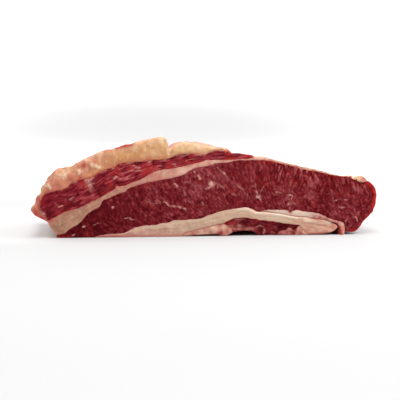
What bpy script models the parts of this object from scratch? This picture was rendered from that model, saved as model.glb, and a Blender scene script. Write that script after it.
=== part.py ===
"""A raw beef brisket joint, cut across so that its layers show on two faces.

Run with: blender --background --python part.py

X runs along the cut face, Y from the front cut face to the back one, and +Z is up. The joint
rests on z = 0, and the origin is the middle of its footprint. The section is drawn once, in
millimetres, as the curves between its layers. Each layer is a box, divided into columns, rows
and slices: its columns and rows fill the space between the curves round it, and its slices
carry that section back through the joint, so that neighbouring layers always meet.
"""

import math

import bmesh
import bpy
import numpy as np

MM = 0.001

# Driving dimensions, in millimetres.
DEPTH = 122.0
GAP = 0.3
BACK_DROP = 0.12
BACK_TAPER = 0.05
SLICES = (0, 0.07, 0.27, 0.5, 0.73, 0.93, 1)

# Neighbouring layers share their edge points: so many columns up to each of these x positions.
COLUMN_BREAKS = (-89.0, 20.0, 40.0)
COLUMNS = (8, 26, 5, 27)
TIP_COLUMNS = 5
FLAP_COLUMNS = 26

# The power at which the shape of a section's ends fades into it.
END_FADE = 5

# The curves of the section, left to right and bottom to top, as (x, z) in millimetres.
TIP_SKIN = ((-127.5, 12.4), (-135, 17), (-139, 20.5), (-140, 23), (-137.5, 28.5), (-135.5, 33))
TIP_LEAN = ((-126.8, 13), (-131, 17.2), (-134, 21.5), (-134.4, 26), (-133, 30))
CAP_SKIN = (
    (-135.5, 33), (-132.5, 36), (-132, 40), (-128.5, 46), (-120, 54), (-105, 59.3), (-88, 66.5),
    (-70, 71.7), (-52, 77), (-42, 79.8), (-34, 79.8), (-24, 75.6), (-10, 75.2), (2, 72.4),
    (14, 71.2), (20.5, 68.2),
)
CAP_POINT = (
    (-133, 30), (-127, 34), (-119, 37.5), (-111, 41), (-101, 47), (-95, 47), (-89, 51),
    (-80, 54.5), (-66, 59.5), (-48, 61.2), (-34, 62.2), (-22, 65.8), (-10, 66.3), (2, 66),
    (10, 68.8), (20.5, 66.6),
)
POINT_SKIN = ((20.5, 66.6), (30, 65.6), (39.5, 64.6))
POINT_SEAM = (
    (-126.8, 13), (-117, 18.3), (-103, 22.8), (-90, 29.5), (-76, 37.3), (-72, 39.8), (-65, 42),
    (-50, 48.5), (-38, 53.9), (-27, 54.4), (-12, 58), (1, 61.4), (14, 61.8), (28, 62),
    (39.5, 63),
)
SEAM_SKIN = (
    (39.5, 63), (50, 62.4), (58, 61.2), (72, 57.4), (88, 53.4), (104, 49), (112, 47.9),
    (121, 47.2), (127, 47.6), (132, 45.8), (133.5, 43.6),
)
SEAM_START = ((-118.4, 0), (-122, 3.8), (-125.5, 8.6), (-126.8, 13))
SEAM_FLAT = (
    (-118.4, 0), (-112, 5.5), (-105, 9.8), (-100, 13.5), (-95, 18.6), (-85, 25), (-79, 30.5),
    (-68, 35.8), (-52, 42), (-35, 46), (-26, 47.5), (-10, 54), (0, 56.9), (18, 58.8),
    (40, 60), (52, 60), (60, 58.6), (80, 53), (100, 48.1), (110, 46), (120, 45.1),
    (126, 43.4), (132, 42.4),
)
FLAT_FLOOR = ((-118.4, 0), (-104, 0), (-90.2, 0), (-89, 0.8))
FLAT_RIB = (
    (-89, 0.8), (-80, 2.2), (-66, 3.2), (-58, 7), (-45, 9.6), (-25, 13.1), (-6, 14.3), (5, 17.8),
    (20, 20.6), (31, 23), (40, 19.9), (45, 19.8), (55, 20.4), (66, 20), (78, 19.7), (87, 18.6),
    (95, 16.1), (104, 13), (111, 11.2), (114, 8.5), (114.2, 2.4),
)
FLAT_END = (
    (114.2, 2.4), (118, 1.4), (122, 1.6), (127, 5.5), (131, 10.8), (136, 16.5), (139.3, 23),
    (140, 30), (138.8, 36.5), (132, 42.4),
)
RIB_SKIN = (
    (40, 19.9), (45, 18.8), (53, 18.5), (62, 16.8), (71, 15.3), (80, 14.7), (88, 13.9),
    (96, 12.1), (103, 9.8),
)
RIB_START = ((-88.8, 0), (-89, 0.8))
RIB_FLOOR = ((-88.8, 0), (-60, 0), (-20, 0))
RIB_SPLIT = ((-20, 0), (-16, 3.3), (-6, 6.4), (5, 8.6), (14, 10.8), (22, 14), (30, 14.9))
RIB_LEAN = ((30, 14.9), (40, 13.2), (50, 12), (60, 10.1), (68, 8.6), (76.3, 7.7))
RIB_UNDER = ((76.3, 7.7), (79.5, 4.4), (83, 1.6), (92, 1.6), (99, 2.4), (105.2, 4.2))
LOBE_END = ((105.2, 4.2), (107.4, 6.8), (103, 9.8))
FLAP_BED_END = ((103, 10.2), (107.6, 9), (109.6, 6.8), (109.4, 3), (109.2, 0))
FLAP_FOOT = ((113.9, 2.4), (113.4, 0))
LIP_BED = ((-19, 0), (-6, 0.9), (6, 1.2), (15, 0), (21.5, 3.4))
LIP_TOP = ((-19.4, 0.7), (-16, 3.3), (-6, 6.4), (5, 8.6), (14, 10.8))
LIP_END = ((21.5, 3.4), (20, 7.4), (14, 10.8))
LEAN_START = ((22.3, 3.4), (20.9, 7.6), (14.8, 11.2))
LEAN_TOP = ((14.8, 11.2), (22, 14), (30, 14.9))
LEAN_FLOOR = ((22.3, 3.4), (31, 3), (40, 2.2), (46, 0), (57, 0), (58.2, 0.6))
LEAN_NUB = ((58.2, 0.6), (60.2, 3.2), (65, 5.2), (70, 5.4), (74.8, 7.1))
NUB_RIB = ((74.8, 7.1), (77, 6), (79.2, 4.2), (82.4, 0.8))
NUB_FLOOR = ((58, 0), (70, 0), (82.4, 0))

# How far each layer's cut faces stand proud of the joint's, as (x, millimetres).
CAP_PROUD = ((-140, -1.5), (-120, 0.8), (-60, 0.6), (20, 0))
POINT_PROUD = ((-135, -1.0), (-110, 0), (40, 0))
SEAM_PROUD = ((-120, 0.4), (0, 0.2), (60, -0.6))
FLAT_PROUD = ((-118, -0.4), (-80, 0), (140, 0))
RIB_PROUD = ((-80, 0), (-10, 0.8), (30, 2.4), (100, 3.6))
FLAP_PROUD = ((45, 1), (80, 1.8), (104, 4))
LEAN_PROUD = ((14, -1.2), (50, -2.6), (76, -1.5))
NUB_PROUD = ((58, 1.4), (82, 2.2))
LIP_PROUD = ((-19, 0.6), (20, 1.6))
FLESH_DOME = 0.9
FAT_DOME = 0.5

# The score across the fat cap, a knife cut that closes towards the back.
SCORE_X = -30.6
SCORE_DEPTH = 9.0
SCORE_WIDTH = 2.6

CAP_FAT = (0.78, 0.45, 0.22)
SEAM_FAT = (0.62, 0.38, 0.25)
RIB_FAT = (0.68, 0.45, 0.30)
PINK_FAT = (0.62, 0.24, 0.18)
POINT_RED = (0.20, 0.022, 0.028)
FLAT_RED = (0.17, 0.02, 0.025)


def curve(*pieces, steps=24):
    """A dense run of points along the smooth curve through each piece's points, end to end."""
    runs = []
    t = np.linspace(0, 1, steps, endpoint=False)[:, None]
    for points in pieces:
        p = np.asarray(points, float)
        p = np.vstack([2 * p[0] - p[1], p, 2 * p[-1] - p[-2]])
        for a, b, c, d in zip(p, p[1:], p[2:], p[3:]):
            reach = np.linalg.norm(c - b)
            leaving = (c - a) / np.linalg.norm(c - a) * reach
            arriving = (d - b) / np.linalg.norm(d - b) * reach
            runs.append(
                (2 * t**3 - 3 * t**2 + 1) * b + (t**3 - 2 * t**2 + t) * leaving
                + (3 * t**2 - 2 * t**3) * c + (t**3 - t**2) * arriving
            )
    return np.vstack([*runs, p[-2:-1]])


def stretch(run, begin, end):
    """The part of a run between the places on it that lie nearest to two points."""
    first, last = (int(np.argmin(np.linalg.norm(run - at, axis=1))) for at in (begin, end))
    return run[first : last + 1]


def evenly(run, count):
    """count + 1 points spaced evenly along a dense run."""
    walked = np.concatenate([[0], np.cumsum(np.linalg.norm(np.diff(run, axis=0), axis=1))])
    at = np.linspace(0, walked[-1], count + 1)
    return np.stack([np.interp(at, walked, run[:, axis]) for axis in (0, 1)], axis=1)


def straight(begin, end, count):
    """count + 1 points spaced evenly from one point to another."""
    return np.linspace(begin, end, count + 1)


def in_columns(run, first, last):
    """Points along a run, with the set number of columns in each stretch between the breaks."""
    points = []
    begin = 0
    for part in range(first, last):
        end = len(run) - 1 if part == last - 1 else int(np.argmax(run[:, 0] >= COLUMN_BREAKS[part]))
        points.append(evenly(run[begin : end + 1], COLUMNS[part])[:-1])
        begin = end
    return np.vstack([*points, run[-1:]])


def inset(outline, distance):
    """A closed anticlockwise outline moved inwards, with its corners mitred."""
    ahead = np.roll(outline, -1, axis=0) - outline
    inward = np.stack([-ahead[:, 1], ahead[:, 0]], axis=1)
    inward /= np.linalg.norm(inward, axis=1, keepdims=True)
    both = inward + np.roll(inward, 1, axis=0)
    return outline + distance * 2 * both / np.maximum((both**2).sum(axis=1, keepdims=True), 0.5)


def section(bottom, top, left, right):
    """A grid of section points that fills the space between four sides, half a gap inside them."""
    outline = np.vstack([bottom[:-1], right[:-1], top[:0:-1], left[:0:-1]])
    resting = outline[:, 1] < 1e-6
    outline = inset(outline, GAP / 2)
    outline[resting, 1] = 0
    outline = np.vstack([outline, outline[:1]])
    columns, rows = len(bottom) - 1, len(left) - 1
    bottom, right = outline[: columns + 1], outline[columns : columns + rows + 1]
    top, left = outline[columns + rows : -rows][::-1], outline[-rows - 1 :][::-1]

    u = np.linspace(0, 1, columns + 1)[:, None, None]
    v = np.linspace(0, 1, rows + 1)[None, :, None]
    left_bulge = left - ((1 - v) * bottom[0] + v * top[0])
    right_bulge = right - ((1 - v) * bottom[-1] + v * top[-1])
    between = (1 - v) * bottom[:, None] + v * top[:, None]
    return between + (1 - u) ** END_FADE * left_bulge + u**END_FADE * right_bulge


def carry_back(x, y, z):
    """Where a section point lies at this y: lower and shorter towards the back, and a little askew."""
    share = y / DEPTH + 0.5
    lean = 3.4 * np.sin(1.3 * math.pi * share) * np.sin(z / 26 + 0.6)
    drift = 2.2 * np.sin(3.6 * share) * np.cos(x / 47 - 0.5) * (0.4 + z / 80)
    heave = 4.0 * share * np.sin(x / 43 + 0.8) * np.sin(np.clip(z / 84, 0, 1) * math.pi)
    swell = 2.0 * np.sin(x / 23 + 4 * share) * np.sin(4.4 * share) * (z / 80) ** 2
    return x * (1 - BACK_TAPER * share) + lean + drift, z * (1 - BACK_DROP * share) + heave + swell


def cap_lumps(x, y):
    """How far the uneven skin of the fat cap stands out at x and y, nothing at the front face."""
    behind = np.clip((y / DEPTH + 0.5) / 0.25, 0, 1)
    return behind * 1.3 * np.sin(x / 7.5 + 0.8 * np.sin(y / 17)) * np.sin(y / 21 + x / 31)


def score(x, y):
    """How deep the knife score across the fat cap is at x and y."""
    share = y / DEPTH + 0.5
    centre = SCORE_X + 7 * share
    closing = np.clip(1 - share / 0.75, 0, 1)
    return SCORE_DEPTH * closing * np.exp(-(((x - centre) / SCORE_WIDTH) ** 2))


def flesh_grain(x, z):
    """The ridges that the coarse grain leaves near the flat's upper right edge."""
    reach = np.clip((x - 30) / 40, 0, 1) * np.clip((z - 22) / 22, 0, 1)
    return 0.8 * reach * np.cos(2 * math.pi * (x - 0.2 * z) / 6.7)


def divided_box(name, divisions):
    """A unit box whose edges along x, y and z are divided into so many pieces, in triangles."""
    box = bmesh.new()
    bmesh.ops.create_cube(box, size=1)
    for axis, pieces in enumerate(divisions):
        along = [e for e in box.edges if abs(e.verts[0].co[axis] - e.verts[1].co[axis]) > 0.5]
        bmesh.ops.subdivide_edges(box, edges=along, cuts=pieces - 1, use_grid_fill=True)
    for face in list(box.faces):
        first, *_, last = sorted(face.verts, key=lambda vertex: sum(vertex.co))
        bmesh.utils.face_split(face, first, last)
    mesh = bpy.data.meshes.new(name)
    box.to_mesh(mesh)
    box.free()
    return mesh


def layer(name, grid, colour, proud, dome=FAT_DOME, scored=False, grained=False):
    """One layer: a box divided like its section grid, then each vertex put in its place."""
    columns, rows = grid.shape[0] - 1, grid.shape[1] - 1
    slices = len(SLICES) - 1
    mesh = divided_box(name, (columns, slices, rows))
    box = np.empty(len(mesh.vertices) * 3)
    mesh.vertices.foreach_get("co", box)
    u, back, v = (box.reshape(-1, 3) + 0.5).T
    back = np.rint(back * slices).astype(int)
    x, z = grid[np.rint(u * columns).astype(int), np.rint(v * rows).astype(int)].T

    stand = np.interp(x, *np.transpose(proud)) + dome * 4 * v * (1 - v)
    if grained:
        stand = stand + flesh_grain(x, z)
    y = (np.array(SLICES)[back] - 0.5) * DEPTH + stand * ((back == slices) * 1.0 - (back == 0))
    if scored:
        z = z - v * score(x, y) + v * cap_lumps(x, y)
    x, z = carry_back(x, y, z)
    mesh.vertices.foreach_set("co", (np.stack([x, y, z], axis=1) * MM).ravel())
    finish(name, mesh, colour)


def finish(name, mesh, colour):
    """Puts a mesh in the scene as an object of this name, smooth apart from its sharp edges."""
    material = bpy.data.materials.new(name)
    material.use_nodes = True
    surface = material.node_tree.nodes["Principled BSDF"]
    surface.inputs["Base Color"].default_value = (*colour, 1)
    surface.inputs["Roughness"].default_value = 0.35
    surface.inputs["Metallic"].default_value = 0
    mesh.materials.append(material)
    mesh.shade_smooth()
    mesh.set_sharp_from_angle(angle=math.radians(40))
    brisket.objects.link(bpy.data.objects.new(name, mesh))


def fat_cap():
    """The thick cap of fat over the point, thinning to a skin round the joint's left tip."""
    bottom = np.vstack([evenly(curve(TIP_LEAN), TIP_COLUMNS)[:-1], in_columns(curve(CAP_POINT), 0, 2)])
    top = np.vstack([evenly(curve(TIP_SKIN), TIP_COLUMNS)[:-1], in_columns(curve(CAP_SKIN), 0, 2)])
    left, right = (straight(bottom[end], top[end], 3) for end in (0, -1))
    layer("fat_cap", section(bottom, top, left, right), CAP_FAT, CAP_PROUD, scored=True)


def point_lean():
    """The point, the upper muscle, which tapers away under the end of the cap."""
    bottom = in_columns(curve(POINT_SEAM), 0, 3)
    top = np.vstack([in_columns(curve(CAP_POINT), 0, 2)[:-1], evenly(curve(POINT_SKIN), COLUMNS[2])])
    left = evenly(curve(TIP_LEAN), TIP_COLUMNS)
    left[0] = bottom[0]
    grid = section(bottom, top, left, straight(bottom[-1], top[-1], TIP_COLUMNS))
    layer("point_lean", grid, POINT_RED, POINT_PROUD, dome=FLESH_DOME)


def seam_fat():
    """The seam of fat between the muscles, which goes on as the skin over the flat."""
    bottom = in_columns(curve(SEAM_FLAT), 0, 4)
    top = np.vstack([in_columns(curve(POINT_SEAM), 0, 3)[:-1], evenly(curve(SEAM_SKIN), COLUMNS[3])])
    grid = section(bottom, top, evenly(curve(SEAM_START), 3), straight(bottom[-1], top[-1], 3))
    layer("seam_fat", grid, SEAM_FAT, SEAM_PROUD)


def flat_lean():
    """The flat, the large lower muscle, from its thin left edge to its round right end."""
    floor = evenly(curve(FLAT_FLOOR), COLUMNS[0] - 1)
    bottom = np.vstack([floor[:-1], in_columns(curve(FLAT_RIB), 1, 4)])
    top = in_columns(curve(SEAM_FLAT), 0, 4)
    grid = section(bottom, top[1:], straight(top[0], top[1], 9), evenly(curve(FLAT_END), 9))
    layer("flat_lean", grid, FLAT_RED, FLAT_PROUD, dome=FLESH_DOME, grained=True)


def rib_fat():
    """The band of fat under the flat, which ends on the right in a thick lobe."""
    shared = in_columns(curve(FLAT_RIB), 1, 4)[: COLUMNS[1] + COLUMNS[2]]
    top = np.vstack([shared, evenly(curve(RIB_SKIN), COLUMNS[3])])
    bottom = in_columns(curve(RIB_FLOOR, RIB_SPLIT, RIB_LEAN, RIB_UNDER), 1, 4)
    grid = section(bottom, top, evenly(curve(RIB_START), 3), evenly(curve(LOBE_END), 3))
    layer("rib_fat", grid, RIB_FAT, RIB_PROUD)


def rib_flap():
    """The sheet of silver skin between the flat and the lobe, whose free edge hangs to the floor."""
    top = np.vstack([in_columns(curve(FLAT_RIB), 1, 4)[-FLAP_COLUMNS:-1], FLAP_FOOT])
    under = stretch(curve(RIB_SKIN), (45.5, 18.8), (102, 10.2))
    bottom = evenly(np.vstack([under, curve(FLAP_BED_END)[1:]]), FLAP_COLUMNS)
    left, right = (straight(bottom[end], top[end], 1) for end in (0, -1))
    layer("rib_flap", section(bottom, top, left, right), PINK_FAT, FLAP_PROUD, dome=0)


def rib_lean():
    """The thin strip of lean under the band of fat."""
    top = evenly(stretch(curve(LEAN_TOP, RIB_LEAN), LEAN_TOP[0], (75, 7.9)), 16)
    bottom = np.vstack([evenly(curve(LEAN_FLOOR), 10)[:-1], evenly(curve(LEAN_NUB), 6)])
    grid = section(bottom, top, evenly(curve(LEAN_START), 3), straight(bottom[-1], top[-1], 3))
    layer("rib_lean", grid, FLAT_RED, LEAN_PROUD)


def rib_nub():
    """The nub of fat that closes the end of the thin strip of lean and rests on the floor."""
    top = np.vstack([evenly(curve(LEAN_NUB), 6)[:-1], evenly(curve(NUB_RIB), 3)])
    bottom = evenly(curve(NUB_FLOOR), 9)
    left, right = (straight(bottom[end], top[end], 2) for end in (0, -1))
    layer("rib_nub", section(bottom, top, left, right), PINK_FAT, NUB_PROUD)


def rib_lip():
    """The lip of pink fat that lies split from the band, under its crack."""
    top, bottom = (evenly(curve(side), 10) for side in (LIP_TOP, LIP_BED))
    grid = section(bottom, top, straight(bottom[0], top[0], 2), evenly(curve(LIP_END), 2))
    layer("rib_lip", grid, PINK_FAT, LIP_PROUD)


for old in list(bpy.data.objects):
    bpy.data.objects.remove(old)
brisket = bpy.data.collections.new("beef_brisket")
bpy.context.scene.collection.children.link(brisket)
for build in (fat_cap, point_lean, seam_fat, flat_lean, rib_fat, rib_flap, rib_lean, rib_nub, rib_lip):
    build()
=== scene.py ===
"""A raw beef brisket joint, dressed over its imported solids.

The joint is one section, drawn in millimetres as the curves between its layers and carried
back from the front cut face to the back one. Every layer is one closed shell, worked out as
functions of u along the layer, v through its thickness and w through the depth of the joint.
"""

import math

import bpy
import numpy as np
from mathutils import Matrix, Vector


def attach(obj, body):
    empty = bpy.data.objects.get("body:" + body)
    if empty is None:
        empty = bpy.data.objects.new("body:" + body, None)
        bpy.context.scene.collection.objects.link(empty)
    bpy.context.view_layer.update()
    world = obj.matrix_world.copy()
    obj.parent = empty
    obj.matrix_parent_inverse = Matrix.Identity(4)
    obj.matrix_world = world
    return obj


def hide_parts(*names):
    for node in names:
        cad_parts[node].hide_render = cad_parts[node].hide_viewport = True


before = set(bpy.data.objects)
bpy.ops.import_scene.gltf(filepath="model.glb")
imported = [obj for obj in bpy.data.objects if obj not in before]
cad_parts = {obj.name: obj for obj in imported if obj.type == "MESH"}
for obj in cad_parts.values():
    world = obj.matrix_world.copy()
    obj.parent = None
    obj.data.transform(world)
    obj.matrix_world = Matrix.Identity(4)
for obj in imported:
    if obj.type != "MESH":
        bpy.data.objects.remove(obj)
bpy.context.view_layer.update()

MM = 0.001

# ---------------------------------------------------------------- the section, in millimetres

LENGTH = 280.0
DEPTH = 122.0
JOIN = 0.02
BACK_DROP = 0.12
BACK_TAPER = 0.05
END_FADE = 5

# The long layers break their columns at these x, with so many before, between and after them.
COLUMN_BREAKS = (-89.0, 20.0, 40.0)
COLUMNS = (64, 180, 34, 180)
TIP_COLUMNS = 30
FLAP_COLUMNS = 170
LIP_COLUMNS = 80
# The strip of lean has columns along its floor, then the nub. The nub has them along the lean, then the band.
LEAN_COLUMNS = (70, 50)
NUB_COLUMNS = (50, 20)
ROWS = {"cap": 30, "seam": 12, "flat": 64, "band": 18, "flap": 10, "lean": 18, "nub": 14, "lip": 14}

# How far the section wanders and meanders, and how far from a cut face its marks fade on the skins.
WANDER = 0.36
MEANDERS = (3.6, 1.1)
CUT_FADE = 6.0

# The edges of the layers, each a run of (x, z).
TIP_SKIN = (
    (-127.2, 12.6), (-130, 14.2), (-133, 15.8), (-136, 17.4), (-138.7, 20.2), (-139.9, 22.4),
    (-138.8, 25), (-137, 28), (-136.4, 31), (-135.2, 33),
)
TIP_LEAN = ((-126.8, 13), (-130, 16.6), (-132.6, 20), (-134, 23.6), (-134.2, 27.4), (-133, 31))
CAP_SKIN = (
    (-135.2, 33), (-133, 35), (-132.3, 37.4), (-132.2, 39.2), (-130, 41.2), (-128.4, 43.6),
    (-127.6, 46), (-125.4, 49.4), (-121, 53), (-115, 55.3), (-108, 56.6), (-103.5, 59.2),
    (-98, 62.2), (-92, 64.9), (-85, 67.7), (-80.5, 69.6), (-76.4, 70), (-70, 71.8),
    (-65, 73.5), (-60, 74.3), (-56, 75.8), (-50, 77.5), (-44, 78.8), (-38, 79.7), (-34, 79.8),
    (-28, 76.6), (-24, 75.2), (-18, 75.9), (-10, 75.2), (-4, 73.3), (4, 72.4), (9, 71.3),
    (13, 71.2), (16.4, 70.3), (20.5, 67.2),
)
CAP_POINT = (
    (-133, 31), (-126.4, 36), (-118, 38.3), (-112, 39.6), (-108.4, 43.2), (-102, 45.8),
    (-97, 46.6), (-93.5, 47.2), (-89, 49.4), (-84.6, 52.5), (-75.4, 55.4), (-69.6, 58.6),
    (-60, 59.7), (-50, 60.2), (-40, 61.7), (-34, 62.1), (-28, 63.3), (-23.6, 65.4),
    (-16, 66.1), (-8, 66.3), (-1, 65.6), (3, 67.2), (7, 68.9), (13, 68.8), (18, 67.4), (20.5, 66.4),
)
POINT_SKIN = ((20.5, 66.4), (25, 66), (30, 65.5), (34, 65), (38.5, 64))
POINT_SEAM = (
    (-126.8, 13), (-120, 17), (-114, 20.4), (-108.6, 21.8), (-103, 23.4), (-97.6, 25.7),
    (-92, 28.4), (-84, 32.6), (-77, 36.8), (-74.6, 38.3), (-72.4, 41), (-69.8, 40.2), (-67, 41),
    (-60, 43.6), (-55, 45.2), (-50, 47.7), (-45.6, 49.8), (-42, 52.2), (-38, 53.2),
    (-32.6, 54), (-29, 53.9), (-23.6, 54.9), (-18.5, 56.4), (-11, 57.8), (-5.4, 59.3),
    (1, 60.9), (6.5, 61.4), (16, 61.3), (26, 61.5), (34, 62), (38.5, 63),
)
SEAM_SKIN = (
    (38.5, 63.2), (44, 63.3), (50, 62.3), (58, 60.4), (72, 56.8), (88, 53.2), (96, 51.5), (104, 49.1),
    (112, 47.8), (118, 46.7), (121.6, 46.4), (124, 47.2), (127, 47.4), (130, 46), (131.4, 44.6),
)
SEAM_START = ((-119.6, 2.6), (-122.4, 5.9), (-125.2, 9.7), (-126.8, 13))
SEAM_FLAT = (
    (-119.6, 2.6), (-116, 2.8), (-113, 3.6), (-110.4, 5.8), (-107.5, 8.2), (-102.6, 10.8),
    (-99.6, 13.8), (-95, 18.8), (-88.5, 23), (-84.6, 25.8), (-82.6, 29), (-79, 31.2),
    (-72, 34.2), (-65.4, 36.2), (-62.6, 39), (-55, 41.5), (-50.6, 42.5), (-44.6, 43.9),
    (-37.8, 45.7), (-31.5, 46.3), (-26.8, 47), (-21.6, 48.6), (-17.4, 49.9), (-13.3, 52.6),
    (-9, 54.8), (-4.9, 55.7), (2, 56.5), (7, 58.4), (16, 59.2), (26, 60.4), (36, 60.8),
    (44, 60.8), (52, 60.2), (60, 58.2), (72, 55), (80, 53), (88, 51.4), (96, 49.9),
    (104, 48.1), (112, 47), (118, 45.9), (121, 45), (124.4, 43.2), (128, 42.4), (131.6, 42.9),
)
FLAT_START = ((-119.9, 0), (-119.6, 2.6))
FLAT_FLOOR = ((-119.9, 0), (-104, 0), (-90.2, 0), (-89, 0.8))
FLAT_RIB = (
    (-89, 0.8), (-80, 2.2), (-66, 3.2), (-61, 5.6), (-57, 7.4), (-50, 8.7), (-40.6, 9.7),
    (-31, 11.1), (-24.6, 12.9), (-12.3, 13.4), (-4, 14.2), (2, 17), (8, 19), (16, 20.8),
    (25.6, 22.4), (31, 23.1), (35, 22.4), (38.4, 20.9), (42, 19.5), (46, 19.8), (50, 20.5),
    (55, 20.5), (62.6, 20.3), (66, 19.8), (68, 18.9), (70, 19.5), (74, 20.1), (80, 19.2),
    (88, 17.7), (93, 16.7), (97, 15.1), (103.4, 12.7), (109.6, 10.8), (112.4, 9.8),
    (113.2, 7), (113.1, 2.2),
)
FLAT_END = (
    (113.1, 2.2), (117, 1.9), (120.4, 1.6), (123.6, 2.5), (125.8, 4.4), (127.8, 7),
    (129.4, 9.6), (131.4, 12), (134.4, 14.4), (136.6, 17.6), (137.9, 20.2), (139.2, 23),
    (140.1, 27), (140.4, 31), (139.9, 35), (138.6, 38.4), (135.8, 41.5), (133.2, 43.6), (131.6, 42.9),
)
RIB_SKIN = (
    (40, 19.9), (45, 19.1), (52, 18.7), (57, 18), (62, 17), (68, 15.9), (74, 15), (80, 14.6),
    (86, 13.6), (92.8, 12.9), (99, 11.3), (103, 9.8),
)
RIB_START = ((-88.8, 0), (-89, 0.8))
RIB_FLOOR = ((-88.8, 0), (-60, 0), (-20, 0))
RIB_SPLIT = (
    (-20, 0), (-17.5, 2.4), (-12.3, 4), (-6, 5.6), (1, 7.4), (10, 9.2), (15, 11), (19, 12.6),
    (23.4, 14), (30, 14.8),
)
RIB_LEAN = (
    (30, 14.8), (35, 14.4), (39.2, 13.6), (44, 12.4), (50, 12), (56, 10.9), (62, 9.8), (70, 8.6),
    (76.3, 8),
)
RIB_UNDER = (
    (76.3, 8), (77.4, 5.8), (79.4, 3.4), (82.8, 0.9), (88.6, 0.7), (95, 0.8), (100, 1.6), (103.6, 2.8),
    (106.2, 4.4),
)
LOBE_END = ((106.2, 4.4), (107.4, 6.8), (103, 9.8))
FLAP_BED_END = ((103, 10.2), (106.4, 9.1), (107.9, 7.2), (108.4, 4), (108.6, 0))
FLAP_FOOT = ((113.1, 2.2), (113, 1.2), (112.8, 0))
LIP_BED = ((-19, 0), (-6, 0.9), (3, 1.4), (9.6, 1.2), (12, 0), (16, 0), (19, 1.4), (21.5, 2.8))
LIP_TOP = ((-19.4, 0.7), *RIB_SPLIT[1:6], (14, 10.5))
LIP_END = ((21.5, 2.8), (20, 6.8), (14, 10.5))
LEAN_TOP = ((14, 10.5), *RIB_SPLIT[-3:])
LEAN_FLOOR = ((21.5, 2.8), (28.6, 3.4), (33, 3.6), (38.6, 2.6), (41.4, 0.4), (46, 0), (57, 0), (58.2, 0.6))
LEAN_NUB = (
    (58.2, 0.6), (59, 2.4), (61.6, 3.6), (65, 4.2), (67, 6.2), (69.4, 5.4), (71.6, 3.8), (73.4, 5.4),
    (75.6, 7.6),
)
NUB_RIB = ((75.6, 7.6), (77.2, 5.8), (79.2, 3.4), (82.4, 0.8))
NUB_FLOOR = ((58, 0), (70, 0), (82.4, 0))

# The knife score across the cap: where it starts, how far it would lean to the right by the back
# face, at which share of the depth it closes, how deep it is and how wide on its two sides.
SCORE_X = -30.2
SCORE_LEAN = 7
SCORE_END = 0.75
SCORE_DEPTH = 7.6
SCORE_WIDTHS = (1.9, 4.4)

# Lines below are a half width, a strength, then their points, and spots are x, z, radius and strength.
# Where the nub is grown to the band, as a line.
NUB_JOIN = ((2.2, 1, (76, 7.8), (79.2, 3.4), (82.6, 0.6)),)
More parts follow.
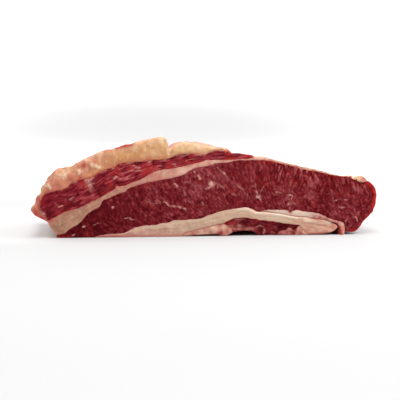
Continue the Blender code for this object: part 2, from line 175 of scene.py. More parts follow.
# Veins of fat in the flat.
FLAT_VEINS = (
    (0.7, 0.75, (-50, 29), (-46.5, 28), (-43.5, 26.6), (-40, 27), (-37.5, 28.4), (-34.5, 27.4)),
    (0.8, 1.0, (-34.5, 27.4), (-30.6, 25.6), (-28, 24), (-23.6, 24.4), (-20.4, 23)),
    (1.2, 1.3, (-18.6, 22.6), (-17.2, 21), (-17, 20)),
    (0.7, 0.85, (-28.4, 47), (-26.6, 44), (-24, 41)),
    (0.6, 0.45, (-24, 41), (-20, 39), (-18, 36), (-16, 32)),
    (0.6, 0.55, (-17, 44), (-14, 42), (-10, 41), (-5, 40.6), (-2, 38.8), (0, 38.4)),
    (2.2, 1.2, (3.6, 43), (4.6, 41.8), (5.8, 41.6)),
    (1.0, 0.9, (0, 38.4), (2.6, 39.4), (4, 40.4)),
    (0.6, 0.6, (6.5, 41.8), (10, 41), (13, 39.4), (16, 39)),
    (0.8, 0.75, (-10, 53), (-7.6, 49.6), (-5.4, 46)),
    (0.7, 0.75, (8, 55), (12, 51), (14, 49.5), (18, 47)),
    (1.1, 1.2, (-3.4, 26.6), (-2.8, 25.4)),
    (0.9, 0.8, (25, 41.4), (27.6, 39.8), (30, 37)),
    (0.5, 0.5, (30, 37), (33, 34), (35, 30)),
    (0.6, 0.55, (20, 34), (24.6, 33), (25, 30)),
    (0.8, 0.7, (36, 44), (39.4, 42), (41, 37)),
    (1.6, 1.25, (41, 31.4), (43.2, 31.2), (43.6, 30)),
    (0.8, 0.9, (41, 37), (41.6, 33), (43.6, 30), (45, 26)),
    (0.6, 0.6, (46, 39), (44, 35), (43, 32)),
    (0.6, 0.6, (56, 35), (61, 33.5), (63, 31.4)),
    (0.7, 0.85, (66.6, 32.6), (70.6, 32.8), (70.4, 30.4), (68.6, 27.6), (67.4, 25)),
    (0.6, 0.6, (67.4, 25), (71, 26), (73, 24.5)),
    (0.6, 0.5, (68.4, 47), (68.6, 41), (67.8, 37)),
    (0.7, 1.1, (-65.4, 15.2), (-61, 14.2), (-57.4, 13.4)),
    (0.6, 0.6, (-90, 10.4), (-85, 11.4), (-80.6, 10.8)),
    (0.8, 0.8, (-99, 8.6), (-97.6, 9.3)),
    (1.0, 0.8, (-75.4, 24), (-74.6, 23.6)),
    (0.6, 0.5, (-67, 24), (-67.4, 21), (-66.6, 19)),
    (0.8, 0.8, (-48, 32), (-48.4, 30.6)),
    (0.5, 0.45, (-47.4, 40), (-44, 35), (-40, 30)),
    (0.5, 0.4, (-44, 42), (-41, 37), (-37, 33)),
    (0.8, 0.6, (-65.5, 37.5), (-64.8, 36.2)),
    (0.9, 0.9, (-106.8, 2.2), (-105.8, 2.4)),
    (0.7, 0.8, (115.4, 5.4), (116.4, 3.4)),
    (0.6, 0.5, (115, 12), (114.8, 8)),
    (0.8, 0.95, (122.6, 14.8), (124, 13), (124.4, 10.6)),
    (0.5, 0.7, (105, 27.6), (111, 28.6), (116, 28.2)),
    (0.6, 0.5, (131.6, 18), (133.4, 17), (136, 18.4)),
    (0.7, 0.5, (107, 22.4), (114, 22)),
    (0.5, 0.35, (-8, 36), (-6, 31), (-1, 28)),
    (0.5, 0.35, (8, 36), (10, 31), (16, 27), (20, 25)),
    (0.5, 0.3, (-8, 16.6), (6, 21), (18, 22.6)),
)
# Lighter and darker spots of the flat.
FLAT_TONES = (
    (-44, 23, 13, -0.12), (-37, 44, 8, 0.12), (-4, 34, 13, 0.12), (0, 54, 9, 0.1), (38, 34, 14, -0.04),
    (82, 43, 18, 0.08), (95, 19, 14, -0.06), (123, 28, 12, 0.08),
)
# Thin pale streaks in the point.
POINT_VEINS = (
    (0.8, 0.9, (-109.4, 31.2), (-107, 32.2), (-104, 35)),
    (0.6, 0.6, (-122.4, 28.6), (-119, 26), (-115, 25.2)),
    (0.9, 0.7, (-117.6, 25.4), (-115.6, 25.6)),
    (0.6, 0.6, (-105.4, 28.4), (-103, 29)),
    (1.5, 0.5, (-130.6, 20), (-129.4, 19.4)),
    (1.3, 1.0, (-74.6, 47.6), (-72.6, 47.4)),
    (0.6, 0.7, (-80, 46.6), (-74, 48.6), (-66, 49.6)),
    (0.6, 0.7, (-67, 51), (-62, 52.6), (-56, 53)),
    (0.9, 0.8, (-56.6, 56.4), (-53.6, 55.6)),
    (0.6, 0.55, (-62, 57.4), (-57, 57.6)),
    (0.6, 0.7, (-56, 52.6), (-52, 53), (-49, 54.6)),
    (0.6, 0.55, (-78, 44), (-70, 46), (-62, 46.6)),
    (0.8, 0.7, (-48.6, 60.2), (-46, 60)),
    (0.7, 0.7, (-37.4, 57.8), (-36, 57.6)),
    (0.8, 0.8, (-27.6, 57.8), (-25.4, 58.4), (-25, 57)),
    (0.5, 0.6, (-17, 60.4), (-13, 62), (-9, 62)),
    (0.6, 0.6, (-92, 33.4), (-86, 36), (-78, 39.6)),
    (0.5, 0.5, (-120.6, 33.4), (-112, 34.6)),
)
# The wedge of fat that reaches down from the cap into the point.
POINT_WEDGE = (
    (3.6, 1.2, (-94.8, 47.6), (-94, 44.8)), (2.5, 1.0, (-94, 44.4), (-93.2, 41.4), (-92.6, 38.8)),
    (1.1, 0.8, (-97.4, 45), (-96.4, 41)), (1.2, 0.5, (-103, 46), (-108, 43.4), (-114, 40)),
)
# Streaks in the thin strip of lean.
LEAN_VEINS = (
    (1.3, 0.7, (14, 7), (20, 8.4), (26, 8), (33, 5.8), (38, 4.8)),
    (1.6, 0.65, (21, 5.6), (28, 5), (35, 4)),
    (0.8, 0.8, (23.6, 12.8), (28, 13), (32, 12.8)),
    (0.7, 0.9, (40, 6.4), (43.6, 8), (46.8, 6.6), (47.6, 3.6), (46.6, 1.2)),
    (0.6, 0.5, (34, 9), (40, 9.4), (45, 9.6)),
    (0.6, 0.5, (50, 3.4), (54, 4)),
)
# Where blood stains the fat cap.
CAP_STAINS = (
    (-97.6, 57.8, 2.4, 0.8), (-102, 55.4, 3, 0.3), (-68, 73, 2.6, 1.2), (-63.6, 74, 2.4, 1.2),
    (-60.6, 74.6, 2, 1.2), (-72, 71.6, 2.2, 0.9), (-137, 19.4, 3.4, 0.75), (-131.4, 14.6, 3.4, 0.9),
    (-136, 31.6, 2.6, 0.8), (-134, 26, 3.4, 0.35), (-126, 36.6, 4, 0.5), (-118, 40, 4, 0.35),
    (-109, 44.4, 4, 0.3), (-79, 69.8, 3, 0.5), (-89.4, 60, 3, 0.45), (18.5, 69, 3, 0.4),
    (-27.8, 72, 1.8, 0.5), (-26.6, 69, 1.6, 0.4), (-48, 60.6, 5, 0.3), (-128, 45, 3, 0.25),
)
# Pale places of the cap as spots, painted highlights as lines, and where its cut face swells.
CAP_PALE = (
    (-116.6, 49.4, 3.0, 0.35), (-112.6, 51.6, 2.0, 0.25), (-42, 66, 4, 0.3), (-36.4, 77, 3, 0.45),
    (-31.6, 74, 1.4, 0.6), (-50, 63.4, 3, 0.25), (-8, 73, 5, 0.3), (5, 70.6, 3, 0.4), (14, 70.4, 1.6, 0.5),
)
CAP_GLINTS = (
    (1.2, 1.6, (-128, 42), (-126.4, 41.8), (-124.8, 40.2)), (0.8, 0.6, (-110, 52), (-112, 50)),
    (1.0, 1.1, (-102, 54), (-101.2, 52.6), (-101.4, 50.8)), (0.8, 0.6, (-31, 72), (-30.6, 69)),
    (1.0, 1.4, (-91.8, 58.6), (-88.6, 57), (-85.6, 55.4)), (0.7, 0.5, (-38, 78), (-34.6, 78.4)),
)
CAP_BUMPS = (
    (-117, 47.6, 5, 1.4), (-108, 50, 4, 0.9), (-101.6, 52.6, 2.2, 1.5), (-88.6, 57.6, 2.4, 1.4),
    (-92.2, 56.2, 2, 0.9), (-126.2, 41.2, 2.4, 1.7), (-130, 37, 3, 0.8), (-135.6, 24.6, 3, 0.8),
    (-122, 44, 3.4, 0.8), (-96, 60, 3, 0.7), (-52, 70, 9, 0.5), (-18, 71.6, 7, 0.9),
    (3, 70, 5, 0.6), (-71, 64, 8, 0.4), (13, 69.8, 2.6, 0.6), (9, 70.4, 2, 0.5),
)


def curve(*pieces, steps=40):
    """A dense run of points along the Catmull-Rom curve through each piece's points, end to end."""
    runs = []
    t = np.linspace(0, 1, steps, endpoint=False)[:, None]
    for points in pieces:
        p = np.asarray(points, float)
        p = np.vstack([2 * p[0] - p[1], p, 2 * p[-1] - p[-2]])
        for a, b, c, d in zip(p, p[1:], p[2:], p[3:]):
            reach = np.linalg.norm(c - b)
            leaving = (c - a) / np.linalg.norm(c - a) * reach
            arriving = (d - b) / np.linalg.norm(d - b) * reach
            runs.append(
                (2 * t**3 - 3 * t**2 + 1) * b + (t**3 - 2 * t**2 + t) * leaving
                + (3 * t**2 - 2 * t**3) * c + (t**3 - t**2) * arriving
            )
    return np.vstack([*runs, p[-2:-1]])


def stretch(run, begin, end):
    """The part of a run between the places on it that lie nearest to two points."""
    first, last = (int(np.argmin(np.linalg.norm(run - at, axis=1))) for at in (begin, end))
    return run[first : last + 1]


def distances(run):
    """How far along a run each of its points lies."""
    return np.concatenate([[0], np.cumsum(np.linalg.norm(np.diff(run, axis=0), axis=1))])


def evenly(run, count):
    """count + 1 points spaced evenly along a dense run."""
    walked = distances(run)
    at = np.linspace(0, walked[-1], count + 1)
    return np.stack([np.interp(at, walked, run[:, axis]) for axis in (0, 1)], axis=1)


def straight(begin, end, count):
    """count + 1 points spaced evenly from one point to another."""
    return np.linspace(begin, end, count + 1)


def straight_ends(bottom, top, rows):
    """The left and the right side of a layer as straight lines."""
    return [straight(bottom[end], top[end], rows) for end in (0, -1)]


def in_columns(run, first, last):
    """Points along a run, with the set number of columns in each stretch between the breaks."""
    points = []
    begin = 0
    for part in range(first, last):
        end = len(run) - 1 if part == last - 1 else int(np.argmax(run[:, 0] >= COLUMN_BREAKS[part]))
        points.append(evenly(run[begin : end + 1], COLUMNS[part])[:-1])
        begin = end
    return np.vstack([*points, run[-1:]])


def inset(outline, distance):
    """A closed anticlockwise outline moved inwards, with its corners mitred."""
    ahead = np.roll(outline, -1, axis=0) - outline
    inward = np.stack([-ahead[:, 1], ahead[:, 0]], axis=1)
    inward /= np.maximum(np.linalg.norm(inward, axis=1, keepdims=True), 1e-9)
    both = inward + np.roll(inward, 1, axis=0)
    return outline + distance * 2 * both / np.maximum((both**2).sum(axis=1, keepdims=True), 0.5)


def closer_to_edges(count):
    """count + 1 shares from 0 to 1, set twice as close at both ends as a plain division is."""
    t = np.linspace(0, 1, count + 1)
    return 0.5 * t + 0.25 * (1 - np.cos(math.pi * t))


def section(bottom, top, left, right):
    """Section points between four sides: a straight blend from bottom to top at each column,
    plus each end's own bulge, which fades away from it with the fifth power of u."""
    outline = np.vstack([bottom[:-1], right[:-1], top[:0:-1], left[:0:-1]])
    resting = outline[:, 1] < 1e-6
    outline = inset(outline, JOIN / 2)
    outline[resting, 1] = 0
    outline = np.vstack([outline, outline[:1]])
    columns, rows = len(bottom) - 1, len(left) - 1
    bottom, right = outline[: columns + 1], outline[columns : columns + rows + 1]
    top, left = outline[columns + rows : -rows][::-1], outline[-rows - 1 :][::-1]

    u = np.linspace(0, 1, columns + 1)[:, None, None]
    v = np.linspace(0, 1, rows + 1)
    even = closer_to_edges(rows)
    left, right = (
        np.stack([np.interp(even, v, side[:, axis]) for axis in (0, 1)], axis=1)
        for side in (left, right)
    )
    v = even[None, :, None]
    left_bulge = left - ((1 - v) * bottom[0] + v * top[0])
    right_bulge = right - ((1 - v) * bottom[-1] + v * top[-1])
    between = (1 - v) * bottom[:, None] + v * top[:, None]
    return between + (1 - u) ** END_FADE * left_bulge + u**END_FADE * right_bulge


def carry_back(x, y, z):
    """Where a section point lies at this y: lower and shorter towards the back, and a little askew."""
    share = y / DEPTH + 0.5
    lean = 3.4 * np.sin(1.3 * math.pi * share) * np.sin(z / 26 + 0.6)
    drift = 2.2 * np.sin(3.6 * share) * np.cos(x / 47 - 0.5) * (0.4 + z / 80)
    heave = 4.0 * share * np.sin(x / 43 + 0.8) * np.sin(np.clip(z / 84, 0, 1) * math.pi)
    swell = 2.0 * np.sin(x / 23 + 4 * share) * np.sin(4.4 * share) * (z / 80) ** 2
    return x * (1 - BACK_TAPER * share) + lean + drift, z * (1 - BACK_DROP * share) + heave + swell


def cap_lumps(x, y):
    """How far the uneven skin of the fat cap stands out at x and y, nothing at the front face."""
    behind = np.clip((y / DEPTH + 0.5) / 0.25, 0, 1)
    return behind * 1.3 * np.sin(x / 7.5 + 0.8 * np.sin(y / 17)) * np.sin(y / 21 + x / 31)


def score(x, y):
    """How deep the knife score across the fat cap is: a notch that falls off as a bell with the
    distance from its line, steeply on its left and gently on its right, and closes backwards."""
    share = y / DEPTH + 0.5
    away = x - SCORE_X - SCORE_LEAN * share
    width = np.where(away < 0, *SCORE_WIDTHS)
    return SCORE_DEPTH * np.clip(1 - share / SCORE_END, 0, 1) * np.exp(-((away / width) ** 2))


# ---------------------------------------------------------------- unevenness

AXIS_MIXERS = np.array([374761393, 668265263, 2147483647])
SEED_MIXER = 974634777
FIRST_MIXER, SECOND_MIXER = 2246822519, 3266489917
LOW_BITS = 0xFFFFFFFF


def scatter(cell, seed):
    """A number from 0 to 1 for each whole cell, mixed from its coordinates and the seed."""
    h = (cell * AXIS_MIXERS[: cell.shape[-1]]).sum(axis=-1)
    h = (h + seed * SEED_MIXER) & LOW_BITS
    h = ((h ^ (h >> 15)) * FIRST_MIXER) & LOW_BITS
    h = ((h ^ (h >> 13)) * SECOND_MIXER) & LOW_BITS
    return (h ^ (h >> 16)) / LOW_BITS


def smooth_noise(points, seed):
    """Value noise from -1 to 1: a scattered number at each whole corner, blended smoothly."""
    whole = np.floor(points).astype(np.int64)
    part = points - whole
    part = part * part * part * (part * (part * 6 - 15) + 10)
    total = 0.0
    for corner in np.ndindex(*(2,) * points.shape[-1]):
        weight = np.prod(np.where(corner, part, 1 - part), axis=-1)
        total = total + weight * scatter(whole + np.array(corner), seed)
    return 2 * total - 1


def clouds(points, size, seed, octaves=3):
    """Layers of smooth noise, each half the size and half the height of the one before."""
    total = 0.0
    for octave in range(octaves):
        total = total + smooth_noise(points * (2**octave / size), seed + octave) / 2**octave
    return total


def bundles(across, along, seed, warp=0.55):
    """Bundles cut across, one to each unit cell: how far inside its bundle a point is, from 0 on
    the line between two to 1 in the middle, and a number from 0 to 1 of the bundle's own."""
    at = np.stack([across, along], axis=-1)
    at = at + warp * np.stack([clouds(at, 2.6, seed + 5, 3), clouds(at, 2.6, seed + 7, 3)], axis=-1)
    whole = np.floor(at).astype(np.int64)
    nearest, second, own = np.full(len(at), 9.0), np.full(len(at), 9.0), np.zeros(len(at))
    for step in np.ndindex(3, 3):
        cell = whole + np.array(step) - 1
        heart = np.stack([scatter(cell, seed), scatter(cell, seed + 1)], axis=-1)
        distance = np.linalg.norm(at - cell - heart, axis=-1)
        closer = distance < nearest
        second = np.where(closer, nearest, np.minimum(second, distance))
        own = np.where(closer, scatter(cell, seed + 2), own)
        nearest = np.minimum(nearest, distance)
    return np.clip((second - nearest) * 1.9, 0, 1), own


def muscle_tone(shell, fibre, grain, *, bold=0.0):
    """How light each point of a cut muscle is, with 0.5 as its middle: each bundle has its own
    share of light, the lines between some bundles are dark, and clouds of two sizes run over all.
    The higher bold is, the wider and darker the lines are and the more the bundles differ."""
    edge, own = fibre
    lines = (1 - fade(0, 0.45 + 0.15 * bold, edge)) * fade(-0.6, 0.4, shell.uneven(6, 141, 2))
    bundle = (0.26 + 0.04 * bold) * (own - 0.5) + 0.1 * (edge - 0.4)
    return 0.5 + bundle - (0.34 + 0.24 * bold) * lines + 0.17 * grain + 0.1 * shell.uneven(14, 143, 2)


def near_lines(x, z, lines):
    """The strongest of the lines at each point: a bell across each line, times its strength."""
    best = np.zeros(len(x))
    for width, strength, *points in lines:
        for (ax, az), (bx, bz) in zip(points, points[1:]):
            length = (bx - ax) ** 2 + (bz - az) ** 2
            along = np.clip(((x - ax) * (bx - ax) + (z - az) * (bz - az)) / length, 0, 1)
            away = np.hypot(x - ax - along * (bx - ax), z - az - along * (bz - az))
            best = np.maximum(best, strength * np.exp(-((away / width) ** 2)))
    return best


def near_spots(x, z, spots):
    """The sum of round bell shapes, each with its own place, radius and strength."""
    return sum(s * np.exp(-((x - a) ** 2 + (z - b) ** 2) / r**2) for a, b, r, s in spots)


def edge_round(distance, radius, depth):
    """A quarter round: depth below the face at the edge, level with it from the radius inwards."""
    t = 1 - np.clip(distance / radius, 0, 1)
    return depth * (np.sqrt(np.maximum(1 - t * t, 0)) - 1)


def fade(low, high, value):
    """0 below low and 1 above high, with a smooth step between them."""
    t = np.clip((value - low) / (high - low), 0, 1)
    return t * t * (3 - 2 * t)


# ---------------------------------------------------------------- building a layer


class Shell:
    """The outer points of one layer's box of columns, slices and rows, with where each one lies."""

    def __init__(self, grid, slices):
        """Numbers the outer points, and measures each one's way along and through the section."""
        right, back, top = grid.shape[0] - 1, len(slices) - 1, grid.shape[1] - 1
        i, j, k = np.indices((right + 1, back + 1, top + 1))
        outer = (i == 0) | (i == right) | (j == 0) | (j == back) | (k == 0) | (k == top)
        self.number = np.full(outer.shape, -1)
        self.number[outer] = np.arange(outer.sum())
        i, j, k = i[outer], j[outer], k[outer]
        self.w = slices[j]
        self.x, self.z = grid[i, k].T
        self.on_back = j == back
        self.on_cut = (j == 0) | self.on_back
        self.on_top, self.on_right = k == top, i == right

        steps = np.linalg.norm(np.diff(grid, axis=1), axis=2)
        height = np.concatenate([np.zeros((len(grid), 1)), np.cumsum(steps, axis=1)], axis=1)
        self.above = height[i, k]
        self.below = height[i, -1] - self.above
        self.share = self.above / np.maximum(height[i, -1], 1e-6)
        walked = distances(grid[:, top // 2])
        self.along = walked[i]
        self.to_end = walked[-1] - self.along
        self.edge = np.minimum(np.minimum(self.above, self.below), np.minimum(self.along, self.to_end))
        from_cut = np.minimum(self.w, 1 - self.w) * DEPTH
        self.deep = fade(0, CUT_FADE, from_cut)
        self.near = np.where(self.on_cut, 1, np.exp(-((from_cut / CUT_FADE) ** 2)))

    def faces(self):
        """Quads on all six sides, each turned to face out of the layer."""
        n = self.number
        sides = (
            (n[:, 0, :], False), (n[:, -1, :], True), (n[0], False),
            (n[-1], True), (n[:, :, 0], True), (n[:, :, -1], False),
        )
        quads = []
        for side, turned in sides:
            a, b, c, d = side[:-1, :-1], side[1:, :-1], side[1:, 1:], side[:-1, 1:]
            quad = np.stack([a, b, c, d], axis=-1).reshape(-1, 4)
            quads.append(quad[:, ::-1] if turned else quad)
        return np.vstack(quads)

    def uneven(self, size, seed, octaves=3):
        """Clouds through the whole layer."""
        return clouds(np.stack([self.x, self.y + 0.3 * DEPTH, self.z], axis=1), size, seed, octaves)

    def grain(self, across, along, seed):
        """Fine clouds drawn out along the bundles, with other ones on the back face."""
        return clouds(np.stack([across, along], axis=1) + 40 * self.on_back[:, None], 1, seed)

    def spots(self, places):
        """Round spots on the cut faces, which fade within millimetres of them on the skins."""
        return near_spots(self.x, self.z, places) * self.near

    def streaks(self, lines, wobble=0.0):
        """Lines on the cut faces, set elsewhere on the back one, which fade like the spots."""
        x, z = self.x + wobble + 19 * self.on_back, self.z + wobble + 4 * self.on_back
        return near_lines(x, z, lines) * self.near


def depth_slices(count):
    """Shares of the depth from front to back, set closer towards both cut faces."""
    t = np.linspace(0, 1, count + 1)
    return 0.3 * t + 0.7 * (3 * t**2 - 2 * t**3)


def nothing(shell):
    """No move at all."""
    return np.zeros(len(shell.x))


def layer(name, grid, finish, *, slices, proud, rounding, relief, masks, skin=nothing, sink=nothing):
    """Builds one layer, dresses it and puts it in place of its solid.

    Every point starts in the section, lowered by sink, and wanders a little there with clouds
    that leave the floor flat. Its y runs from the front cut face to the back one, which stand out
    by proud and fall back at their edges by rounding. The section is then carried to that y,
    where other clouds make it meander sideways, but not at the front face and less near the ends
    and the floor. Last, the point moves along the surface normal by relief on the cut faces and
    by skin on the outer skins.
    """
    shell = Shell(grid, depth_slices(slices))
    x, z = shell.x, shell.z
    stand = np.interp(x, *np.transpose(proud)) + rounding(shell)
    shell.y = y = (shell.w - 0.5) * DEPTH + stand * (2 * shell.w - 1)
    plane, solid = np.stack([x, z], axis=1), np.stack([x, y, z], axis=1)
    wander_x, wander_z = (WANDER * fade(0, 6, z) * clouds(plane, 4.6, seed) for seed in (3, 8))
    inner = fade(0.02, 0.4, shell.w) * fade(-138, -108, x) * (1 - 0.6 * fade(105, 140, x)) * fade(0, 20, z)
    broad, fine = clouds(solid, 27, 11), clouds(solid * (0.4, 1.0, 1.0), 8, 14, 2)
    meander = inner * (MEANDERS[0] * broad + MEANDERS[1] * fine)
    placed_x, placed_z = carry_back(x + wander_x + meander, y, z + wander_z - sink(shell))
    points = np.stack([placed_x, y, placed_z], axis=1)

    mesh = bpy.data.meshes.new(name)
    quads = shell.faces()
    mesh.vertices.add(len(points))
    mesh.vertices.foreach_set("co", (points * MM).ravel())
    mesh.loops.add(quads.size)
    mesh.loops.foreach_set("vertex_index", quads.ravel())
    mesh.polygons.add(len(quads))
    mesh.polygons.foreach_set("loop_start", np.arange(0, quads.size, 4))
    mesh.update(calc_edges=True)
    normals = np.empty(len(points) * 3)
    mesh.vertex_normals.foreach_get("vector", normals)

    move = np.where(shell.on_cut, relief(shell) * fade(0, 1.5, shell.edge), skin(shell))
    points = points + move[:, None] * normals.reshape(-1, 3)
    points[:, 2] = np.maximum(points[:, 2], 0)
    mesh.vertices.foreach_set("co", (points * MM).ravel())
    mesh.update()

    def hold(label, kind, field, values):
        """Keeps a value or a vector for each point, which a finish reads by its label."""
        values = np.ascontiguousarray(values, dtype=np.float32)
        mesh.attributes.new(label, kind, "POINT").data.foreach_set(field, values.ravel())

    hold("lay", "FLOAT_VECTOR", "vector", np.stack([shell.along, y, shell.above], axis=1) * MM)
    given = {"skin": 1.0 - shell.on_cut, "edge": shell.edge, "share": shell.share, **masks(shell)}
    for label, values in given.items():
        hold(label, "FLOAT", "value", values)
    mesh.polygons.foreach_set("use_smooth", np.ones(len(quads), bool))
    mesh.materials.append(finish)
    piece = bpy.data.objects.new(name + "_look", mesh)
    bpy.context.scene.collection.objects.link(piece)
    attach(piece, "root")
    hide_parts(name)


# ---------------------------------------------------------------- finishes


def srgb(red, green, blue):
    """A colour given as 0 to 255 on a screen, as the light it stands for."""
    part = np.array([red, green, blue]) / 255
    light = np.where(part <= 0.04045, part / 12.92, ((part + 0.055) / 1.055) ** 2.4)
    return (*light.tolist(), 1.0)


class Value:
    """A node's output that Python's operators carry on with Math nodes."""

    def __init__(self, finish, socket):
        self.finish, self.socket = finish, socket

    def math(self, operation, other):
        """A Math node on this value and another."""
        return self.finish.node("ShaderNodeMath", {"operation": operation}, {0: self, 1: other})

    def __add__(self, other):
        return self.math("ADD", other)

    def __mul__(self, other):
        return self.math("MULTIPLY", other)

    def __sub__(self, other):
        return self.math("SUBTRACT", other)

    def __rsub__(self, other):
        return (self * -1.0) + other

    __radd__ = __add__
    __rmul__ = __mul__

    def clamp(self):
        """Held between 0 and 1."""
        return self.finish.node("ShaderNodeClamp", {}, {"Value": self})

    def between(self, low, high):
        """0 below low and 1 above high, with a smooth step between them."""
        sockets = {"Value": self, "From Min": low, "From Max": high}
        return self.finish.node("ShaderNodeMapRange", {"interpolation_type": "SMOOTHSTEP"}, sockets)


class Finish:
    """One material, whose nodes are written as Python expressions."""

    def __init__(self, name):
        self.material = bpy.data.materials.new(name)
        self.material.use_nodes = True
        self.nodes = self.material.node_tree.nodes
        self.links = self.material.node_tree.links
        self.nodes.clear()
        self.place = self.node("ShaderNodeTexCoord", output="Object")

    def node(self, kind, settings=None, sockets=None, output=0):
        """Adds a node, makes its settings, then fills its sockets with values or links."""
        made = self.nodes.new(kind)
        for key, value in (settings or {}).items():
            if key == "stops":
                stops = made.color_ramp.elements
                while len(stops) < len(value):
                    stops.new(1.0)
                for stop, (position, colour) in zip(stops, value):
                    stop.position, stop.color = position, colour
            else:
                setattr(made, key, value)
        for key, value in (sockets or {}).items():
            if isinstance(value, Value):
                self.links.new(value.socket, made.inputs[key])
            else:
                made.inputs[key].default_value = value
        return Value(self, made.outputs[output]) if made.outputs else made

    def attribute(self, name, output="Fac"):
        """What the mesh holds at each point under a name."""
        return self.node("ShaderNodeAttribute", {"attribute_name": name}, output=output)

    def axis(self, name):
        """The place along one axis, in metres."""
        return self.node("ShaderNodeSeparateXYZ", {}, {0: self.place}, output=name)

    def stretched(self, coordinates, scale, turn=0.0):
        """Coordinates turned about the depth and scaled, so that a pattern runs along them."""
        turned = self.node("ShaderNodeMapping", {}, {"Vector": coordinates, "Rotation": (0, turn, 0)})
        return self.node("ShaderNodeMapping", {}, {"Vector": turned, "Scale": scale})

    def noise(self, coordinates, scale, detail=3.0, roughness=0.55, distortion=0.0):
        """Soft clouds from 0 to 1."""
        sockets = {
            "Vector": coordinates, "Scale": scale, "Detail": detail,
            "Roughness": roughness, "Distortion": distortion,
        }
        return self.node("ShaderNodeTexNoise", {}, sockets)

    def cells(self, coordinates, scale):
        """Scattered cells: the distance to the nearest cell's middle."""
        return self.node("ShaderNodeTexVoronoi", {}, {"Vector": coordinates, "Scale": scale})

    def mix(self, share, first, second):
        """A colour between two others by a share."""
        return self.node("ShaderNodeMix", {"data_type": "RGBA"}, {0: share, 6: first, 7: second}, output=2)

    def ramp(self, value, *stops):
        """A colour that runs through stops, each a position from 0 to 1 and a screen colour."""
        stops = [(at, srgb(*colour)) for at, *colour in stops]
        return self.node("ShaderNodeValToRGB", {"stops": stops}, {"Fac": value})

    def along_x(self, *stops):
        """A colour that runs through stops, each an x in millimetres and a screen colour."""
        place = self.axis("X") * (1 / (LENGTH * MM)) + 0.5
        return self.ramp(place, *((at / LENGTH + 0.5, *colour) for at, *colour in stops))

    def surface(self, colour, roughness, bump, *, bump_depth, sunk, radius, shine, coat):
        """Ends the material: wet flesh or fat into which light sinks a little."""
        relief = self.node("ShaderNodeBump", {}, {"Height": bump, "Distance": bump_depth})
        made = self.node("ShaderNodeBsdfPrincipled", {}, {
            "Base Color": colour, "Roughness": roughness, "Normal": relief, "IOR": 1.4,
            "Subsurface Weight": sunk, "Subsurface Radius": radius, "Subsurface Scale": 0.002,
            "Specular IOR Level": shine, "Coat Weight": coat, "Coat Roughness": 0.14, "Coat IOR": 1.4,
        })
        self.node("ShaderNodeOutputMaterial", {}, {"Surface": made})
        return self.material


def lean_finish(name, reds, warm, vein, *, grain, turn=0.0, along=False):
    """Cut muscle. Each bundle's tone picks one of the reds, broad clouds warm it, fat streaks it,
    and on the outer skins a film of fat lies on it in places. On the point and the flat the tone
    and dark marks hold painted shade in places, and on the flat the blush holds painted light."""
    f = Finish(name)
    coordinates = f.attribute("lay", "Vector") if along else f.place
    fine = f.noise(f.stretched(coordinates, grain, turn), 700.0, 4.0, 0.72)
    broad = f.noise(f.place, 130.0, 3.0)
    tone = f.attribute("tone") + fine - 0.5
    red = f.ramp(tone, *reds)
    red = f.mix(broad.between(0.54, 0.7) * tone.between(0.2, 0.6) * 0.5, red, warm)
    red = f.mix(f.attribute("dark"), red, srgb(*reds[0][1:]))
    red = f.mix(f.attribute("blush") * fine.between(0.25, 0.5), red, srgb(188, 40, 37))
    film = f.attribute("skin") * f.noise(f.place, 62.0, 5.0, 0.68, 0.4).between(0.44, 0.64) * 0.62
    fat = f.attribute("fat") * (0.35 + fine * 1.25) + film
    red = f.mix(fat.between(0.08, 1.0), red, vein)
    bump = fine + f.noise(f.place, 420.0) * 0.7
    return f.surface(
        red, 0.42 + fine * 0.3, bump, bump_depth=0.0009, sunk=0.05, radius=(1.0, 0.2, 0.15),
        shine=0.12, coat=tone.between(0.35, 1.0) * 0.45,
    )


def fat_finish(
    name, base, warm, stain, *, skin, pale=srgb(248, 222, 186), streak=(0.2, 0.6, 1.0), rim=None, bloody=1.2,
):
    """Raw fat: a base that changes along the joint, with soft clouds, streaks and blood stains,
    blotched on the outer skins. The rim colours its upper part, in part as painted top light, and
    bloody is how far from the lean, in millimetres, the blood reaches. The pale marks are pale fat
    and in places painted highlights, and the stain marks are blood and in places painted shade."""
    f = Finish(name)
    runs = f.noise(f.stretched(f.attribute("lay", "Vector"), streak), 520.0, 4.0, 0.65, 0.4)
    soft = f.noise(f.place, 190.0, 4.0, 0.65)
    colour = f.along_x(*base)
    if rim:
        # The rim colour over the upper part, in part painted top light.
        colour = f.mix((f.attribute("share") + (soft - 0.5) * 0.5).between(0.5, 0.95) * 0.8, colour, rim)
    colour = f.mix(soft.between(0.42, 0.66) * 0.6, colour, warm)
    colour = f.mix(runs.between(0.52, 0.72) * 0.34, colour, stain)
    colour = f.mix((1.0 - runs).between(0.54, 0.74) * 0.4, colour, pale)
    near_lean = f.attribute("edge") - (soft - 0.5) * 2.4
    colour = f.mix((1.0 - near_lean.between(0.0, bloody)) * 0.42, colour, stain)
    on_skin, blotch = f.attribute("skin"), f.noise(f.place, 46.0, 5.0, 0.65, 0.5)
    colour = f.mix(on_skin * 0.6, colour, skin)
    colour = f.mix(on_skin * blotch.between(0.5, 0.68) * 0.55, colour, stain)
    colour = f.mix(on_skin * (1.0 - blotch).between(0.5, 0.66) * 0.5, colour, pale)
    # The pale and stain marks: in places painted highlights and painted shade.
    colour = f.mix((f.attribute("pale") * (0.5 + runs)).clamp(), colour, pale)
    colour = f.mix((f.attribute("stain") * (0.3 + soft * 1.4)).clamp(), colour, stain)
    bump = f.cells(f.place, 330.0) * -0.4 + soft * 0.8 + runs * 0.8
    return f.surface(
        colour, 0.36 + soft * 0.3, bump, bump_depth=0.0007, sunk=0.25, radius=(1.0, 0.5, 0.3),
        shine=0.3, coat=0.15,
    )


# ---------------------------------------------------------------- the nine layers


def marks(shell, **given):
    """Every mark that a finish reads, 0 where a layer has none, and the given ones held to 0 to 1."""
    plain = {label: np.zeros(len(shell.x)) for label in ("fat", "tone", "dark", "blush", "stain", "pale")}
    return plain | {label: np.clip(values, 0, 1) for label, values in given.items()}


